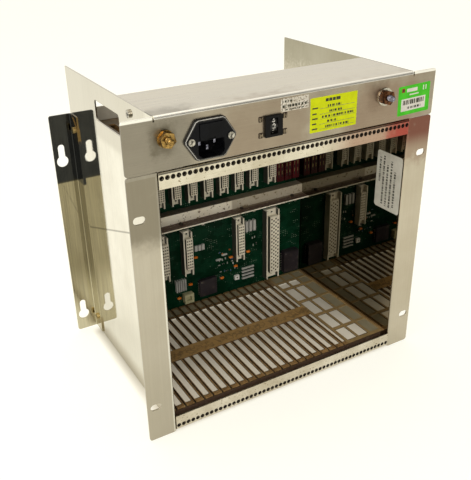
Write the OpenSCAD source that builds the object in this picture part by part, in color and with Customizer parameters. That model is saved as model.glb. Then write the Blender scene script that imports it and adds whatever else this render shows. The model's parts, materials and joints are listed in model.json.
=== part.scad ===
// Subrack card cage: a 7U high, 52 HP wide stainless cage with a 1U connector housing on top,
// moulded card-guide grids, a split backplane and keyhole wall brackets.
// X runs left to right seen from the front, +Y runs to the rear, +Z is up.
// The origin is the centre of the bounding box at the level the cage stands on.

/* [Cage] */
// Clear width between the side plates, 52 HP
inner_w = 264.2; // [255:0.1:275]
// Height of the card bay section
bay_h = 265.2; // [262:0.1:270]
// Thickness of the folded sheet
sheet_t = 1.5; // [1.2:0.1:2]
// Inside radius of the sheet folds
fold_r = 1; // [0.5:0.1:1.5]
// Depth of the side plates
side_depth = 216; // [206:1:236]
// Width of a front ear, from the wall to its outer edge
ear_w = 26.4; // [25:0.1:32]
// Corner radius of the ears
ear_corner_r = 2.5; // [1:0.1:4]

/* [Ear slots] */
// Width of the fixing slots
slot_w = 6.8; // [5:0.1:7]
// Length of the fixing slots
slot_l = 10.8; // [9:0.1:12]
// Height of the lower slots above the base
slot_low_z = 37.4; // [30:0.1:50]
// Vertical distance between the slots
slot_pitch = 190.5; // [180:0.1:200]
// Distance of the slot centres from the ear edge
slot_edge = 8.6; // [8:0.1:10]

/* [Side cut-outs] */
// Distance of the cut-out from the front
cutout_y = 73.5; // [60:0.5:80]
// Length of the cut-out
cutout_l = 61; // [40:1:70]
// Height of the cut-out's lower edge above the housing panel's
cutout_lift = 8.8; // [6:0.1:12]
// Height of the cut-out
cutout_h = 19.6; // [12:0.1:22]
// Corner radius of the cut-out
cutout_r = 3; // [1:0.5:5]

/* [Housing] */
// Height of the housing's front panel, 1U
housing_h = 44.5; // [43:0.1:50]
// Gap between the housing panel and the ears below it
panel_gap = 0.6; // [0.3:0.1:1]
// Depth of the housing cover
housing_depth = 78.8; // [70:0.1:90]
// Width of the relief slits beside the cover fold
slit_w = 1.4; // [1:0.1:2]
// Depth of the relief slits
slit_d = 4.2; // [3.5:0.1:6]
// Height of the lip folded down at the rear of the cover
rear_lip = 9; // [5:0.5:14]
// Height of the side flanges under the cover
flange_h = 15; // [12:0.5:15]

/* [Front rails] */
// Height of the bottom rail's face
rail_low_h = 16.4; // [14:0.1:18]
// Height of the top rail's face
rail_top_h = 14.6; // [12:0.1:15]
// Gap between a rail and the edge of the bay
rail_edge_gap = 0.6; // [0.2:0.1:1]
// Depth of a rail's flange
rail_flange = 14; // [10:0.5:18]
// Diameter of the panel fixing holes
hole_d = 3.5; // [2.5:0.1:3.8]
// Distance of the bottom hole row from the rail's outer edge
hole_edge = 5.2; // [4:0.1:6]
// Number of holes in a row
hole_count = 52; // [40:2:52]

/* [Card guides] */
// Height of the bottom grid's upper face
grid_top_z = 19; // [18.5:0.1:21]
// Thickness of the guide grids
grid_t = 1.6; // [1.4:0.1:2.2]
// Distance of the grids' front edge from the front
grid_front_y = 7; // [5:0.5:8]
// Distance of the first card slot from the left wall
first_slot = 4.4; // [4:0.05:4.8]
// Pitch of the card slots, 2 HP
guide_pitch = 10.16; // [9:0.01:10.2]
// Number of card slots in a grid
guide_count = 21; // [15:1:21]
// Width of a card slot
groove_w = 1.9; // [1.8:0.1:2.2]
// Depth of a card slot
groove_d = 1; // [0.6:0.1:1.2]
// Width of the guide wall on the left of a slot
wall_left_w = 1.2; // [0.8:0.1:1.6]
// Width of the guide wall on the right of a slot
wall_right_w = 0.5; // [0.4:0.1:1]
// Height that the front guides rise above the grid as a lead-in
lead_in_h = 0.8; // [0.4:0.1:1.2]
// Drop of the top grid below the edge of the bay
top_grid_drop = 3.2; // [3:0.1:5]
// Depth of the guide rails under the top grid
top_guide_h = 10; // [6:0.5:12]

/* [Backplane] */
// Front face of the lower backplane
board_y = 174; // [170:0.5:180]
// Distance of the upper backplane behind the lower one
board_step = 11; // [9:0.5:12]
// Thickness of the backplanes
board_t = 3.2; // [1.6:0.1:3.4]
// Pitch of the upper connectors, 4 HP
conn_pitch = 20.32; // [18:0.01:20.4]
// Number of upper connectors in the regular row
conn_count = 10; // [6:1:10]
// Height of a connector above its board
conn_h = 10.5; // [8:0.1:12]
// Width of a connector's contact block
conn_block_w = 8.4; // [7:0.1:9]
// Width of the guide strip on the block's left
conn_strip_w = 1.6; // [1:0.1:2]
// Gap between the strip and the block
conn_gap = 1.6; // [1:0.1:2]
// Length of a full size connector
conn_len = 94; // [90:0.5:95]
// Length of a half size connector
conn_half_len = 56; // [50:0.5:60]

/* [Middle rail] */
// Height of the front flange, as a share of the bay
mid_share = 0.4864; // [0.47:0.005:0.5]
// Height of the rail's web
mid_web_h = 11.3; // [8:0.1:14]
// Depth of the front flange
mid_flange = 14.5; // [10:0.5:16]

/* [Wall brackets] */
// Width of the bracket's flange
bracket_w = 24; // [22:0.5:26]
// Depth of the leg on the side plate
bracket_leg = 20; // [16:0.5:26]
// Height of the bay left free by the bracket
bracket_drop = 5.2; // [4:0.1:12]
// Height of the bracket's lower edge
bracket_z = 2; // [1:0.5:3]
// Diameter of the keyholes
keyhole_d = 12.4; // [10:0.1:13]
// Width of the keyhole slots
keyhole_slot_w = 7; // [5:0.1:8]
// Length of a keyhole, from the circle's centre to the slot's end
keyhole_up = 18.5; // [16:0.5:24]
// Distance of the keyholes from the side plate
keyhole_x = 15.3; // [14:0.1:16]
// Height of the lower keyholes above the base
keyhole_z = 22; // [16:0.5:30]
// Vertical distance between the keyholes
keyhole_pitch = 190; // [170:1:200]

/* [Mains inlet] */
// Distance of the inlet's centre from the left wall
inlet_x = 47; // [42:0.5:50]
// Height of the inlet's centre above the panel's lower edge
inlet_z = 19.5; // [18.5:0.1:21]
// Width of the inlet's flange
inlet_w = 47; // [46:0.5:50]
// Height of the inlet's flange
inlet_h = 34.4; // [34:0.1:36]
// Thickness of the inlet's flange
inlet_flange_t = 3; // [2:0.1:4]
// Distance between the inlet's screws
inlet_screws_pitch = 36.2; // [35.4:0.1:38]
// Depth of the inlet behind the panel
inlet_depth = 26; // [22:0.5:34]
// Travel of the fuse drawer
drawer_travel = 14; // [8:0.5:16]

/* [Address switch] */
// Distance of the switch's centre from the left wall
switch_x = 107.7; // [100:0.1:112]
// Height of the switch's centre above the panel's lower edge
switch_z = 19.5; // [18:0.1:24]
// Width of the switch bezel
switch_w = 17.2; // [16:0.1:19]
// Height of the switch bezel
switch_h = 18.4; // [17:0.1:20]
// Radius of the thumbwheel
wheel_r = 8.6; // [7.5:0.1:8.8]
// Width of the thumbwheel
wheel_w = 7; // [5:0.1:8]

/* [Earth terminals] */
// Distance of the left terminal from the left wall
stud_left_x = 7.9; // [7.6:0.1:9]
// Distance of the right terminal from the right wall
stud_right_x = 33.6; // [26:0.1:40]
// Height of the terminals above the panel's lower edge
stud_z = 25.8; // [20:0.1:28]
// Diameter of the terminal studs
stud_d = 6; // [5:0.1:7]
// Reach of a stud in front of the panel
stud_reach = 12; // [10:0.1:16]
// Width across the flats of the terminal nuts
nut_flats = 12; // [10:0.1:13]
// Height of the terminal nuts
nut_h = 5.4; // [4:0.1:6.4]

/* [Hidden] */
$fn = 64;
through = 1;
head_fn = 48;
hex_sides = 6;

panel_z = bay_h + panel_gap;
top_grid_z = bay_h - top_grid_drop;
cutout_z = panel_z + cutout_lift;
mid_z = bay_h * mid_share;
total_h = panel_z + housing_h;
half_in = inner_w / 2;
half_out = half_in + sheet_t;
half_w = half_out + ear_w;
front_y = -(side_depth - stud_reach) / 2;
bend_out = fold_r + sheet_t;
bracket_h = bay_h - bracket_drop;

hp = 5.08;
hole_z_low = rail_edge_gap + hole_edge;
hole_z_top = bay_h - rail_edge_gap - hole_edge;
tapped_above = 2.6;
tapped_t = 3;
tapped_d = hole_d - 0.4;

// the rear supports
ledge_t = 1.5;
ledge_y = board_y - 15;
web_y = board_y - sheet_t;
upper_y = board_y + board_step;
rear_reach = upper_y + board_t + 1.5;
grid_rear_y = board_y - 1.5;
grid_low_z = grid_top_z - grid_t;
web_top_z = top_grid_z + 14;

// the openings of the bottom grid
band_y = 78;
band_l = 18;
slot_start_y = 11.4;
slot_rear_start = band_y + band_l;
slot_rear_end = grid_rear_y - 18.5;
pocket_gap = 3;
pocket_d = 0.6;
web_w = wall_left_w + groove_w + wall_right_w;
slots_end_x = -half_in + first_slot + (guide_count - 1) * guide_pitch + groove_w / 2 + wall_right_w;
last_slot_w = 4.2;
window_first_x = slots_end_x + last_slot_w + 3.2;
window_columns = 2;
window_gap = 2.5;
edge_rim = 3.6;
window_pitch = (half_in - edge_rim - window_first_x + window_gap) / (window_columns + 1);
window_w = window_pitch - window_gap;
window_bar = 3.9;
window_row_pitch = 33.7;
window_first_row = 39.8;
window_row_count = 5;

// the housing's fixing screws
side_screw_y = 48;
side_screw_z = total_h - 8.9;
side_screw_d = 4;
side_head_d = 7;
side_head_h = 1.8;

// the bracket's fixing screws
bracket_screw_y = side_depth - 9;
bracket_screw_z = [18, bracket_z + bracket_h - 16];
bracket_screw_d = 4;
screw_end = 0.8;

// the mains inlet
inlet_cx = -half_in + inlet_x;
inlet_cz = panel_z + inlet_z;
cavity_w = 24;
cavity_h = 15.2;
cavity_d = 17;
cavity_z = -8.2;
cavity_corner = 4.2;
drawer_w = 20.6;
drawer_h = 13.2;
drawer_z = 6.9;
drawer_proud = 0.8;
drawer_deep = 20;
drawer_clear = 0.3;
inlet_body_w = 26;
inlet_body_h = 32.8;
inlet_hole_d = 3.3;
inlet_head_d = 6;
pin_w = 2;
pin_h = 4;
pin_x = 7;
pin_z = -3.6;
pin_front = 5;
pin_rear = 8;
earth_drop = 4.6;

// the address switch
switch_cx = -half_in + switch_x;
switch_cz = panel_z + switch_z;
bezel_t = 2.5;
switch_depth = 20;
wheel_clear = 0.35;
wheel_y = wheel_r - bezel_t + 0.5;
axle_d = 3;
axle_clear = 0.05;
wheel_teeth = 10;
notch_r = 1.1;
tab_x = 12.1;
tab_z = 7;

// the earth terminals
stud_cz = panel_z + stud_z;
stud_cx = [-half_in + stud_left_x, half_in - stud_right_x];
washer_t = 1.2;
stud_rear = 9;
stud_end_d = stud_d - 0.4;
stud_tip = 0.8;
stud_slot_w = 0.8;

// the connectors
conn_first_x = -half_in + first_slot + guide_pitch;
conn_extra_x = half_in - 41.4;
conn_share = 0.31;
conn_low_z = mid_z + mid_web_h + conn_share * (top_grid_z - mid_z - mid_web_h - conn_len);
flange_len = 8;
flange_hole_d = 2.8;
base_drop = 6;
strip_drop = 0.7;
latch_w = 1.8;
wide_block_w = 13.6;
wide_gap = 3.2;
power_w = 9.4;
power_pitch = 11.4;
power_first = conn_block_w / 2 + power_w / 2 + 1.6;
power_count = 3;
half_conn_at = [-0.6926, -0.4618, -0.2309, 0.2952];
half_conn_share = 0.391;
half_conn_z = grid_top_z + half_conn_share * (mid_z - grid_top_z);
wide_conn_x = half_in - 45.6;
wide_share = 0.345;
wide_conn_z = grid_top_z + wide_share * (mid_z - ledge_t - grid_top_z - conn_len);

// the small parts are placed on a grid of 132 by 110 steps that follows the lower board
step_x = half_in / 132;
step_z = (mid_z - grid_top_z) / 110;
mid_screw_shares = [-0.893, -0.288, 0.318, 0.863];
mid_screw_in = 4.5;
board_screw_shares = [-0.893, -0.515, -0.061, 0.469, 0.924];

// ---- shared shapes ----

// moves the drawing from the front plane to the part's own origin
module seated() translate([0, front_y, 0]) children();

// a hole or pin along Y that starts at y
module along_y(x, y, z, d, l, sides = $fn)
  translate([x, y, z]) rotate([-90, 0, 0]) cylinder(d = d, h = l, $fn = sides);

// a hole or pin along X that starts at x
module along_x(x, y, z, d, l, sides = $fn)
  translate([x, y, z]) rotate([0, 90, 0]) cylinder(d = d, h = l, $fn = sides);

// extrudes an X-Z outline along Y
module plate_y(y, t) translate([0, y + t, 0]) rotate([90, 0, 0]) linear_extrude(t) children();

// extrudes a Y-Z outline along X, centred on X
module profile_x(w) rotate([90, 0, 90]) translate([0, 0, -w / 2]) linear_extrude(w) children();

// a rectangle with four round corners
module round_rect(w, h, r) {
  translate([r, 0]) square([w - 2 * r, h]);
  translate([0, r]) square([w, h - 2 * r]);
  for (x = [r, w - r], z = [r, h - r]) translate([x, z]) circle(r);
}

// a quarter ring with the sheet's thickness, in the quadrant of the two signs
module fold_ring(sx, sy) intersection() {
  difference() {
    circle(bend_out);
    circle(fold_r);
  }
  mirror([sx < 0 ? 1 : 0, 0]) mirror([0, sy < 0 ? 1 : 0]) square(bend_out);
}

// a slot with round ends along X
module slot_2d(l, w) {
  square([l - w, w], center = true);
  for (s = [-1, 1]) translate([s * (l - w) / 2, 0]) circle(d = w);
}

// ---- cage sheet metal ----

module side_plate() color("silver") difference() {
  union() {
    translate([-half_out, bend_out, 0]) cube([sheet_t, side_depth - bend_out, total_h]);
    translate([-half_out - fold_r, bend_out, 0]) linear_extrude(bay_h) fold_ring(1, -1);
    plate_y(0, sheet_t) difference() {
      translate([-half_w, 0]) round_rect(ear_w + ear_corner_r, bay_h, ear_corner_r);
      translate([-half_out - fold_r, -through]) square([ear_w, bay_h + 2 * through]);
      for (z = [slot_low_z, slot_low_z + slot_pitch])
        translate([-half_w + slot_edge, z]) slot_2d(slot_l, slot_w);
    }
  }
  translate([-half_out - through, cutout_y, cutout_z])
    rotate([90, 0, 90]) linear_extrude(sheet_t + 2 * through) round_rect(cutout_l, cutout_h, cutout_r);
  along_x(-half_out - through, side_screw_y, side_screw_z, side_screw_d, sheet_t + 2 * through);
  for (z = bracket_screw_z)
    along_x(-half_out - through, bracket_screw_y, z, bracket_screw_d, sheet_t + 2 * through);
}

module side_plate_left() seated() side_plate();
module side_plate_right() seated() mirror([1, 0, 0]) side_plate();

// holes of the housing's front panel
module panel_cuts() {
  translate([inlet_cx - inlet_body_w / 2, -through, inlet_cz - inlet_body_h / 2])
    cube([inlet_body_w, sheet_t + 2 * through, inlet_body_h]);
  for (s = [-1, 1])
    along_y(inlet_cx + s * inlet_screws_pitch / 2, -through, inlet_cz, inlet_hole_d, sheet_t + 2 * through);
  translate([switch_cx - switch_w / 2 + 1, -through, switch_cz - switch_h / 2 + 1])
    cube([switch_w - 2, sheet_t + 2 * through, switch_h - 2]);
  for (x = stud_cx) along_y(x, -through, stud_cz, stud_d, sheet_t + 2 * through);
}

module top_housing() seated() color("lightgray") difference() {
  union() {
    plate_y(0, sheet_t) difference() {
      translate([-half_w, panel_z]) round_rect(2 * half_w, housing_h, ear_corner_r);
      translate([-half_in, total_h - bend_out]) square([inner_w, bend_out + through]);
      for (s = [-1, 1])
        translate([s * (half_in + slit_w / 2) - slit_w / 2, total_h - slit_d]) square([slit_w, slit_d + through]);
    }
    profile_x(inner_w) {
      translate([bend_out, total_h - bend_out]) fold_ring(-1, 1);
      translate([bend_out, total_h - sheet_t]) square([housing_depth - 2 * bend_out, sheet_t]);
      translate([housing_depth - bend_out, total_h - bend_out]) fold_ring(1, 1);
      translate([housing_depth - sheet_t, total_h - rear_lip]) square([sheet_t, rear_lip - bend_out]);
    }
    for (s = [-1, 1]) translate([s * (half_in - sheet_t / 2) - sheet_t / 2, 12, total_h - flange_h])
      cube([sheet_t, housing_depth - 24, flange_h - sheet_t / 2]);
  }
  panel_cuts();
  for (s = [-1, 1])
    along_x(s * (half_in - sheet_t / 2) - sheet_t, side_screw_y, side_screw_z, side_screw_d, 2 * sheet_t);
}

// ---- rails ----

// the rail's section: face, flange and the stand that carries the grid
module rail_section(face_h, stand_h) {
  translate([0, bend_out]) square([sheet_t, face_h - bend_out]);
  translate([bend_out, bend_out]) fold_ring(-1, -1);
  translate([bend_out, 0]) square([rail_flange - 2 * bend_out, sheet_t]);
  translate([rail_flange - bend_out, bend_out]) fold_ring(1, -1);
  translate([rail_flange - sheet_t, bend_out]) square([sheet_t, stand_h - bend_out]);
}

module panel_hole_row(z)
  for (i = [0 : hole_count - 1])
    along_y((i - (hole_count - 1) / 2) * hp, -through, z, hole_d, sheet_t + 2 * through);

module front_rail_bottom() seated() color("gainsboro") difference() {
  translate([0, 0, rail_edge_gap]) profile_x(inner_w) rail_section(rail_low_h, grid_low_z - rail_edge_gap);
  panel_hole_row(hole_z_low);
}

module front_rail_top() seated() color("gainsboro") difference() {
  translate([0, 0, bay_h - rail_edge_gap]) mirror([0, 0, 1])
    profile_x(inner_w) rail_section(rail_top_h, bay_h - rail_edge_gap - top_grid_z);
  panel_hole_row(hole_z_top);
}

// a tapped bar behind a rail's holes, its holes wider than the thread so that a screw passes freely
module threaded_strip() difference() {
  translate([-half_in + 1, sheet_t, rail_edge_gap + bend_out])
    cube([inner_w - 2, tapped_t, hole_z_low + tapped_above - rail_edge_gap - bend_out]);
  for (i = [0 : hole_count - 1])
    along_y((i - (hole_count - 1) / 2) * hp, sheet_t - through, hole_z_low, tapped_d, tapped_t + 2 * through);
}

module threaded_strip_bottom() seated() color("dimgray") threaded_strip();
module threaded_strip_top() seated() color("dimgray") translate([0, 0, bay_h]) mirror([0, 0, 1]) threaded_strip();

module middle_rail() seated() color("gainsboro") profile_x(inner_w) {
  translate([web_y - mid_flange, mid_z - ledge_t]) square([mid_flange + ledge_t, ledge_t]);
  translate([web_y, mid_z - ledge_t]) square([sheet_t, mid_web_h + ledge_t]);
  translate([web_y, mid_z + mid_web_h - ledge_t]) square([rear_reach - web_y, ledge_t]);
}

module middle_rail_screws() seated() color("dimgray") {
  for (share = mid_screw_shares) translate([share * half_in, web_y - mid_screw_in, mid_z]) {
    cylinder(d = 4.6, h = 1.6, $fn = head_fn);
    translate([0, 0, 1.6]) cylinder(d1 = 4.6, d2 = 2.4, h = 0.7, $fn = head_fn);
  }
}

module rear_rail_top() seated() color("silver") profile_x(inner_w) {
  translate([web_y, top_grid_z]) square([sheet_t, web_top_z - top_grid_z]);
  translate([web_y, top_grid_z]) square([rear_reach - web_y, ledge_t]);
}

module rear_rail_bottom() seated() color("silver") profile_x(inner_w) {
  translate([ledge_y, grid_low_z - ledge_t]) square([board_y + board_t + ledge_t - ledge_y, ledge_t]);
  translate([board_y + board_t, 2]) square([ledge_t, grid_low_z + 12]);
}

// ---- card guides ----

function guide_x(i) = -half_in + first_slot + i * guide_pitch;

// the moulding seen from above: openings between the card slots and windows on the right
module grid_openings() {
  for (i = [-1 : guide_count - 1]) {
    left = i < 0 ? -half_in + 0.9 : guide_x(i) + groove_w / 2 + wall_right_w;
    right = i == guide_count - 1 ? left + last_slot_w : guide_x(i + 1) - groove_w / 2 - wall_left_w;
    if (right - left > 1) {
      translate([left, slot_start_y]) square([right - left, band_y - slot_start_y]);
      translate([left, slot_rear_start]) square([right - left, slot_rear_end - slot_rear_start]);
    }
  }
  for (c = [0 : window_columns - 1]) translate([window_first_x + c * window_pitch, 0]) window_column(window_w);
}

// where a row of windows starts and ends along Y
function row_start(r) = r == 0 ? slot_start_y : window_first_row + (r - 1) * window_row_pitch;
function row_end(r) = min(window_first_row + r * window_row_pitch - window_bar, slot_rear_end);

module window_column(w)
  for (r = [0 : window_row_count - 1])
    if (row_end(r) - row_start(r) > window_bar) translate([0, row_start(r)]) square([w, row_end(r) - row_start(r)]);

// shallow pockets: the closed rear ends of the openings and the closed column on the right
module grid_pockets() {
  for (i = [-1 : guide_count - 2]) {
    left = i < 0 ? -half_in + 0.9 : guide_x(i) + groove_w / 2 + wall_right_w;
    right = guide_x(i + 1) - groove_w / 2 - wall_left_w;
    if (right - left > 1)
      translate([left, slot_rear_end + pocket_gap]) square([right - left, grid_rear_y - slot_rear_end - 2 * pocket_gap]);
  }
  for (c = [0 : window_columns]) translate([window_first_x + c * window_pitch, slot_rear_end + pocket_gap])
    square([window_w - 0.4, grid_rear_y - slot_rear_end - 2 * pocket_gap]);
  translate([window_first_x + window_columns * window_pitch, 0]) window_column(window_w - 0.4);
}

module guide_grid_bottom() seated() color("sienna") difference() {
  union() {
    translate([-half_in, grid_front_y, grid_low_z]) linear_extrude(grid_t) difference() {
      square([inner_w, grid_rear_y - grid_front_y]);
      translate([half_in, -grid_front_y]) grid_openings();
    }
    for (i = [0 : guide_count - 1], s = [-1, 1])
      translate([guide_x(i) + s * (groove_w / 2 + 0.9) - 0.5, grid_front_y + 0.6, grid_top_z])
        cube([1, 4, lead_in_h]);
    translate([half_in - edge_rim, grid_front_y + 4, grid_top_z])
      cube([1.2, grid_rear_y - grid_front_y - 8, 0.8]);
  }
  for (i = [0 : guide_count - 1])
    for (run = [[grid_front_y - through, band_y], [band_y + band_l, grid_rear_y + through]])
      translate([guide_x(i) - groove_w / 2, run[0], grid_top_z - groove_d])
        cube([groove_w, run[1] - run[0], groove_d + through]);
  translate([0, 0, grid_top_z - pocket_d]) linear_extrude(pocket_d + through) grid_pockets();
}

module guide_grid_top() seated() color("sienna") difference() {
  union() {
    translate([-half_in, grid_front_y, top_grid_z - grid_t]) linear_extrude(grid_t) difference() {
      square([inner_w, web_y + 3 - grid_front_y]);
      translate([half_in, -grid_front_y]) grid_openings();
    }
    for (i = [0 : guide_count - 1])
      translate([guide_x(i) - groove_w / 2 - wall_left_w, grid_front_y + rail_flange, top_grid_z - grid_t - top_guide_h])
        cube([web_w, grid_rear_y - grid_front_y - rail_flange - 2, top_guide_h]);
  }
  for (i = [0 : guide_count - 1])
    translate([guide_x(i) - groove_w / 2, grid_front_y - through, top_grid_z - grid_t - top_guide_h - through])
      cube([groove_w, grid_rear_y - grid_front_y, groove_d + through]);
}

// ---- backplane ----

module backplane_lower() seated() color("darkgreen")
  translate([-half_in + 1, board_y, grid_low_z])
    cube([inner_w - 2, board_t, mid_z + mid_web_h - ledge_t - grid_low_z]);

module backplane_upper() seated() color("darkgreen")
  translate([-half_in + 1, upper_y, mid_z + mid_web_h]) cube([inner_w - 2, board_t, top_grid_z - mid_z - mid_web_h]);

// a female board connector: contact block, guide strip on its left and two drilled end flanges
module connector(x, y, z, len, block_w, gap) translate([x, y - conn_h, z]) {
  strip_x = -block_w / 2 - gap - conn_strip_w;
  translate([-block_w / 2, 0, flange_len]) cube([block_w, conn_h, len - 2 * flange_len]);
  translate([strip_x, strip_drop, 0]) cube([conn_strip_w, conn_h - strip_drop, len]);
  translate([strip_x, base_drop, 0]) difference() {
    cube([conn_strip_w + gap + block_w, conn_h - base_drop, len]);
    for (end = [flange_len / 2, len - flange_len / 2])
      along_y(conn_strip_w + gap + block_w * 0.4, -through, end, flange_hole_d, conn_h);
  }
  for (end = [0, len - flange_len]) translate([block_w / 2 - latch_w, strip_drop, end])
    cube([latch_w, conn_h - strip_drop, flange_len]);
}

module upper_connectors() seated() color("ivory") {
  for (i = [0 : conn_count - 1]) connector(conn_first_x + i * conn_pitch, upper_y, conn_low_z, conn_len, conn_block_w, conn_gap);
  connector(conn_extra_x, upper_y, conn_low_z, conn_len, conn_block_w, conn_gap);
}

module power_connectors() seated() color("maroon")
  for (i = [0 : power_count - 1]) translate([conn_extra_x + power_first + i * power_pitch, upper_y, conn_low_z]) {
    translate([-power_w / 2, -conn_h, 0]) cube([power_w, conn_h, conn_len]);
    translate([-power_w / 2 - 1, -conn_h + 4, 2]) cube([1, conn_h - 4, conn_len - 4]);
  }

module half_connectors() seated() color("ivory")
  for (share = half_conn_at) connector(share * half_in, board_y, half_conn_z, conn_half_len, conn_block_w, conn_gap);

module wide_connector() seated() color("ivory")
  connector(wide_conn_x, board_y, wide_conn_z, conn_len, wide_block_w, wide_gap);

// a box on the lower backplane: its corner in steps, then its width, length and height
module on_board(x, z, w, l, h) translate([x * step_x, board_y - h, grid_top_z + z * step_z]) cube([w, h, l]);

module board_chips() seated() color("dimgray") {
  on_board(-17, 6, 23, 22, 5);
  on_board(102, 6, 22, 29, 9);
  on_board(-117, 9, 20, 24, 5);
}

module board_capacitors() seated() color("orange")
  for (p = [[-28.5, 27], [-44.5, 12.5], [14.5, 23], [34, 34], [27.5, 48], [-20, 61], [52, 49], [-105, 39], [-75, 21]])
    translate([p[0] * step_x, 0, grid_top_z + p[1] * step_z]) {
      along_y(-1.1, board_y - 5.5, 0, 3.4, 5.5, head_fn);
      along_y(1.1, board_y - 5.5, 0, 3.4, 5.5, head_fn);
    }

module resistor_arrays() seated() color("gainsboro") {
  for (i = [0 : 4]) on_board(-47.5 + i * 2.9, 21, 1.6, 15, 4);
  for (i = [0 : 2]) on_board(48.8 + i * 5.4, 76, 3.2, 14, 4);
  for (i = [0 : 3]) on_board(44, 11 + i * 4.6, 17, 1.8, 2);
  for (i = [0 : 1]) on_board(8 + i * 8, 47 + i * 5, 7, 1.8, 2);
  for (i = [0 : 2]) on_board(-20 + i * 4.6, 68, 3.4, 7, 2.4);
}

module coil_socket() seated() color("ivory") difference() {
  on_board(-38.5, 4, 12, 12, 7);
  translate([-38.5 * step_x + 3, board_y - 7 - through, grid_top_z + 4 * step_z + 3]) cube([6, 5 + through, 6]);
}

module jumper_block() seated() color("white") difference() {
  on_board(33, 13.5, 6, 6, 3);
  along_y(33 * step_x + 3, board_y - 3 - through, grid_top_z + 13.5 * step_z + 3, 2, 3);
}

module board_screws() seated() color("silver")
  for (share = board_screw_shares) along_y(share * half_in, board_y - 2, mid_z - 8, 5, 2, head_fn);

// ---- wall brackets ----

module keyhole_2d() {
  circle(d = keyhole_d);
  translate([-keyhole_slot_w / 2, 0]) square([keyhole_slot_w, keyhole_up - keyhole_slot_w / 2]);
  translate([0, keyhole_up - keyhole_slot_w / 2]) circle(d = keyhole_slot_w);
}

module wall_bracket() color("slategray") difference() {
  union() {
    plate_y(side_depth - sheet_t, sheet_t) difference() {
      translate([-half_out - bracket_w, bracket_z]) round_rect(bracket_w + ear_corner_r, bracket_h, ear_corner_r);
      translate([-half_out - bend_out, bracket_z - through]) square([bracket_w, bracket_h + 2 * through]);
      for (z = [keyhole_z, keyhole_z + keyhole_pitch]) translate([-half_out - keyhole_x, z]) keyhole_2d();
    }
    translate([-half_out - bend_out, side_depth - bend_out, bracket_z]) linear_extrude(bracket_h) fold_ring(1, 1);
    translate([-half_out - sheet_t, side_depth - bracket_leg, bracket_z])
      cube([sheet_t, bracket_leg - bend_out, bracket_h]);
  }
  translate([-half_out - sheet_t - through, side_depth - bracket_leg, bracket_z + bracket_h])
    rotate([45, 0, 0]) cube([sheet_t + 2 * through, 2 * bracket_leg, bracket_leg], center = true);
  for (z = bracket_screw_z)
    along_x(-half_out - sheet_t - through, bracket_screw_y, z, bracket_screw_d, sheet_t + 2 * through);
}

module bracket_left() seated() wall_bracket();
module bracket_right() seated() mirror([1, 0, 0]) wall_bracket();

// a pan head screw along X, its head outside and its shank reaching inwards
module side_screw(x_out, y, z, d, grip) {
  along_x(x_out - side_head_h, y, z, side_head_d, side_head_h, head_fn);
  along_x(x_out, y, z, d, grip);
}

module bracket_screws() seated() color("goldenrod")
  for (s = [0, 1], z = bracket_screw_z) mirror([s, 0, 0])
    side_screw(-half_out - sheet_t, bracket_screw_y, z, bracket_screw_d, 2 * sheet_t + screw_end);

module housing_screws() seated() color("dimgray")
  for (s = [0, 1]) mirror([s, 0, 0])
    side_screw(-half_out, side_screw_y, side_screw_z, side_screw_d, 2 * sheet_t + 3);

// ---- mains inlet with fuse drawer ----

// the inlet's flange: a hexagon with cut corners
module inlet_flange_2d(inset) {
  w = inlet_w / 2 - inset;
  h = inlet_h / 2 - inset;
  flat = inlet_w * 0.27 - inset * 0.6;
  nip = 1.2;
  polygon([[-w, -nip], [-flat - nip, -h + nip], [-flat + nip, -h], [flat - nip, -h], [flat + nip, -h + nip], [w, -nip],
           [w, nip], [flat + nip, h - nip], [flat - nip, h], [-flat + nip, h], [-flat - nip, h - nip], [-w, nip]]);
}

// the socket's mouth, its lower corners cut off
module cavity_2d() polygon([
  [-cavity_w / 2 + cavity_corner, -cavity_h / 2], [cavity_w / 2 - cavity_corner, -cavity_h / 2],
  [cavity_w / 2, -cavity_h / 2 + cavity_corner], [cavity_w / 2, cavity_h / 2],
  [-cavity_w / 2, cavity_h / 2], [-cavity_w / 2, -cavity_h / 2 + cavity_corner]
]);

module mains_inlet() seated() color([0.1, 0.1, 0.1]) translate([inlet_cx, 0, inlet_cz]) difference() {
  union() {
    plate_y(-inlet_flange_t + 1, inlet_flange_t - 1) inlet_flange_2d(0);
    plate_y(-inlet_flange_t, 1) inlet_flange_2d(1.4);
    translate([-inlet_body_w / 2, 0, -inlet_body_h / 2]) cube([inlet_body_w, inlet_depth, inlet_body_h]);
  }
  translate([0, 0, cavity_z]) plate_y(-inlet_flange_t - through, inlet_flange_t + through + cavity_d - inlet_flange_t)
    cavity_2d();
  translate([-drawer_w / 2 - drawer_clear, -inlet_flange_t - through, drawer_z - drawer_h / 2 - drawer_clear])
    cube([drawer_w + 2 * drawer_clear, inlet_flange_t + through + drawer_deep + drawer_clear,
          drawer_h + 2 * drawer_clear]);
  for (s = [-1, 1])
    along_y(s * inlet_screws_pitch / 2, -inlet_flange_t - through, 0, inlet_hole_d, inlet_flange_t + 2 * through);
  for (x = [-pin_x, 0, pin_x]) translate([x - pin_w / 2, 0, cavity_z - pin_z - pin_h / 2 - (x == 0 ? earth_drop : 0)])
    cube([pin_w, inlet_depth + through, pin_h]);
}

module inlet_pins() seated() color("silver") translate([inlet_cx, 0, inlet_cz])
  for (x = [-pin_x, 0, pin_x])
    translate([x - pin_w / 2, pin_front, cavity_z - pin_z - pin_h / 2 - (x == 0 ? earth_drop : 0)])
      cube([pin_w, inlet_depth + pin_rear - pin_front, pin_h]);

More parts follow.
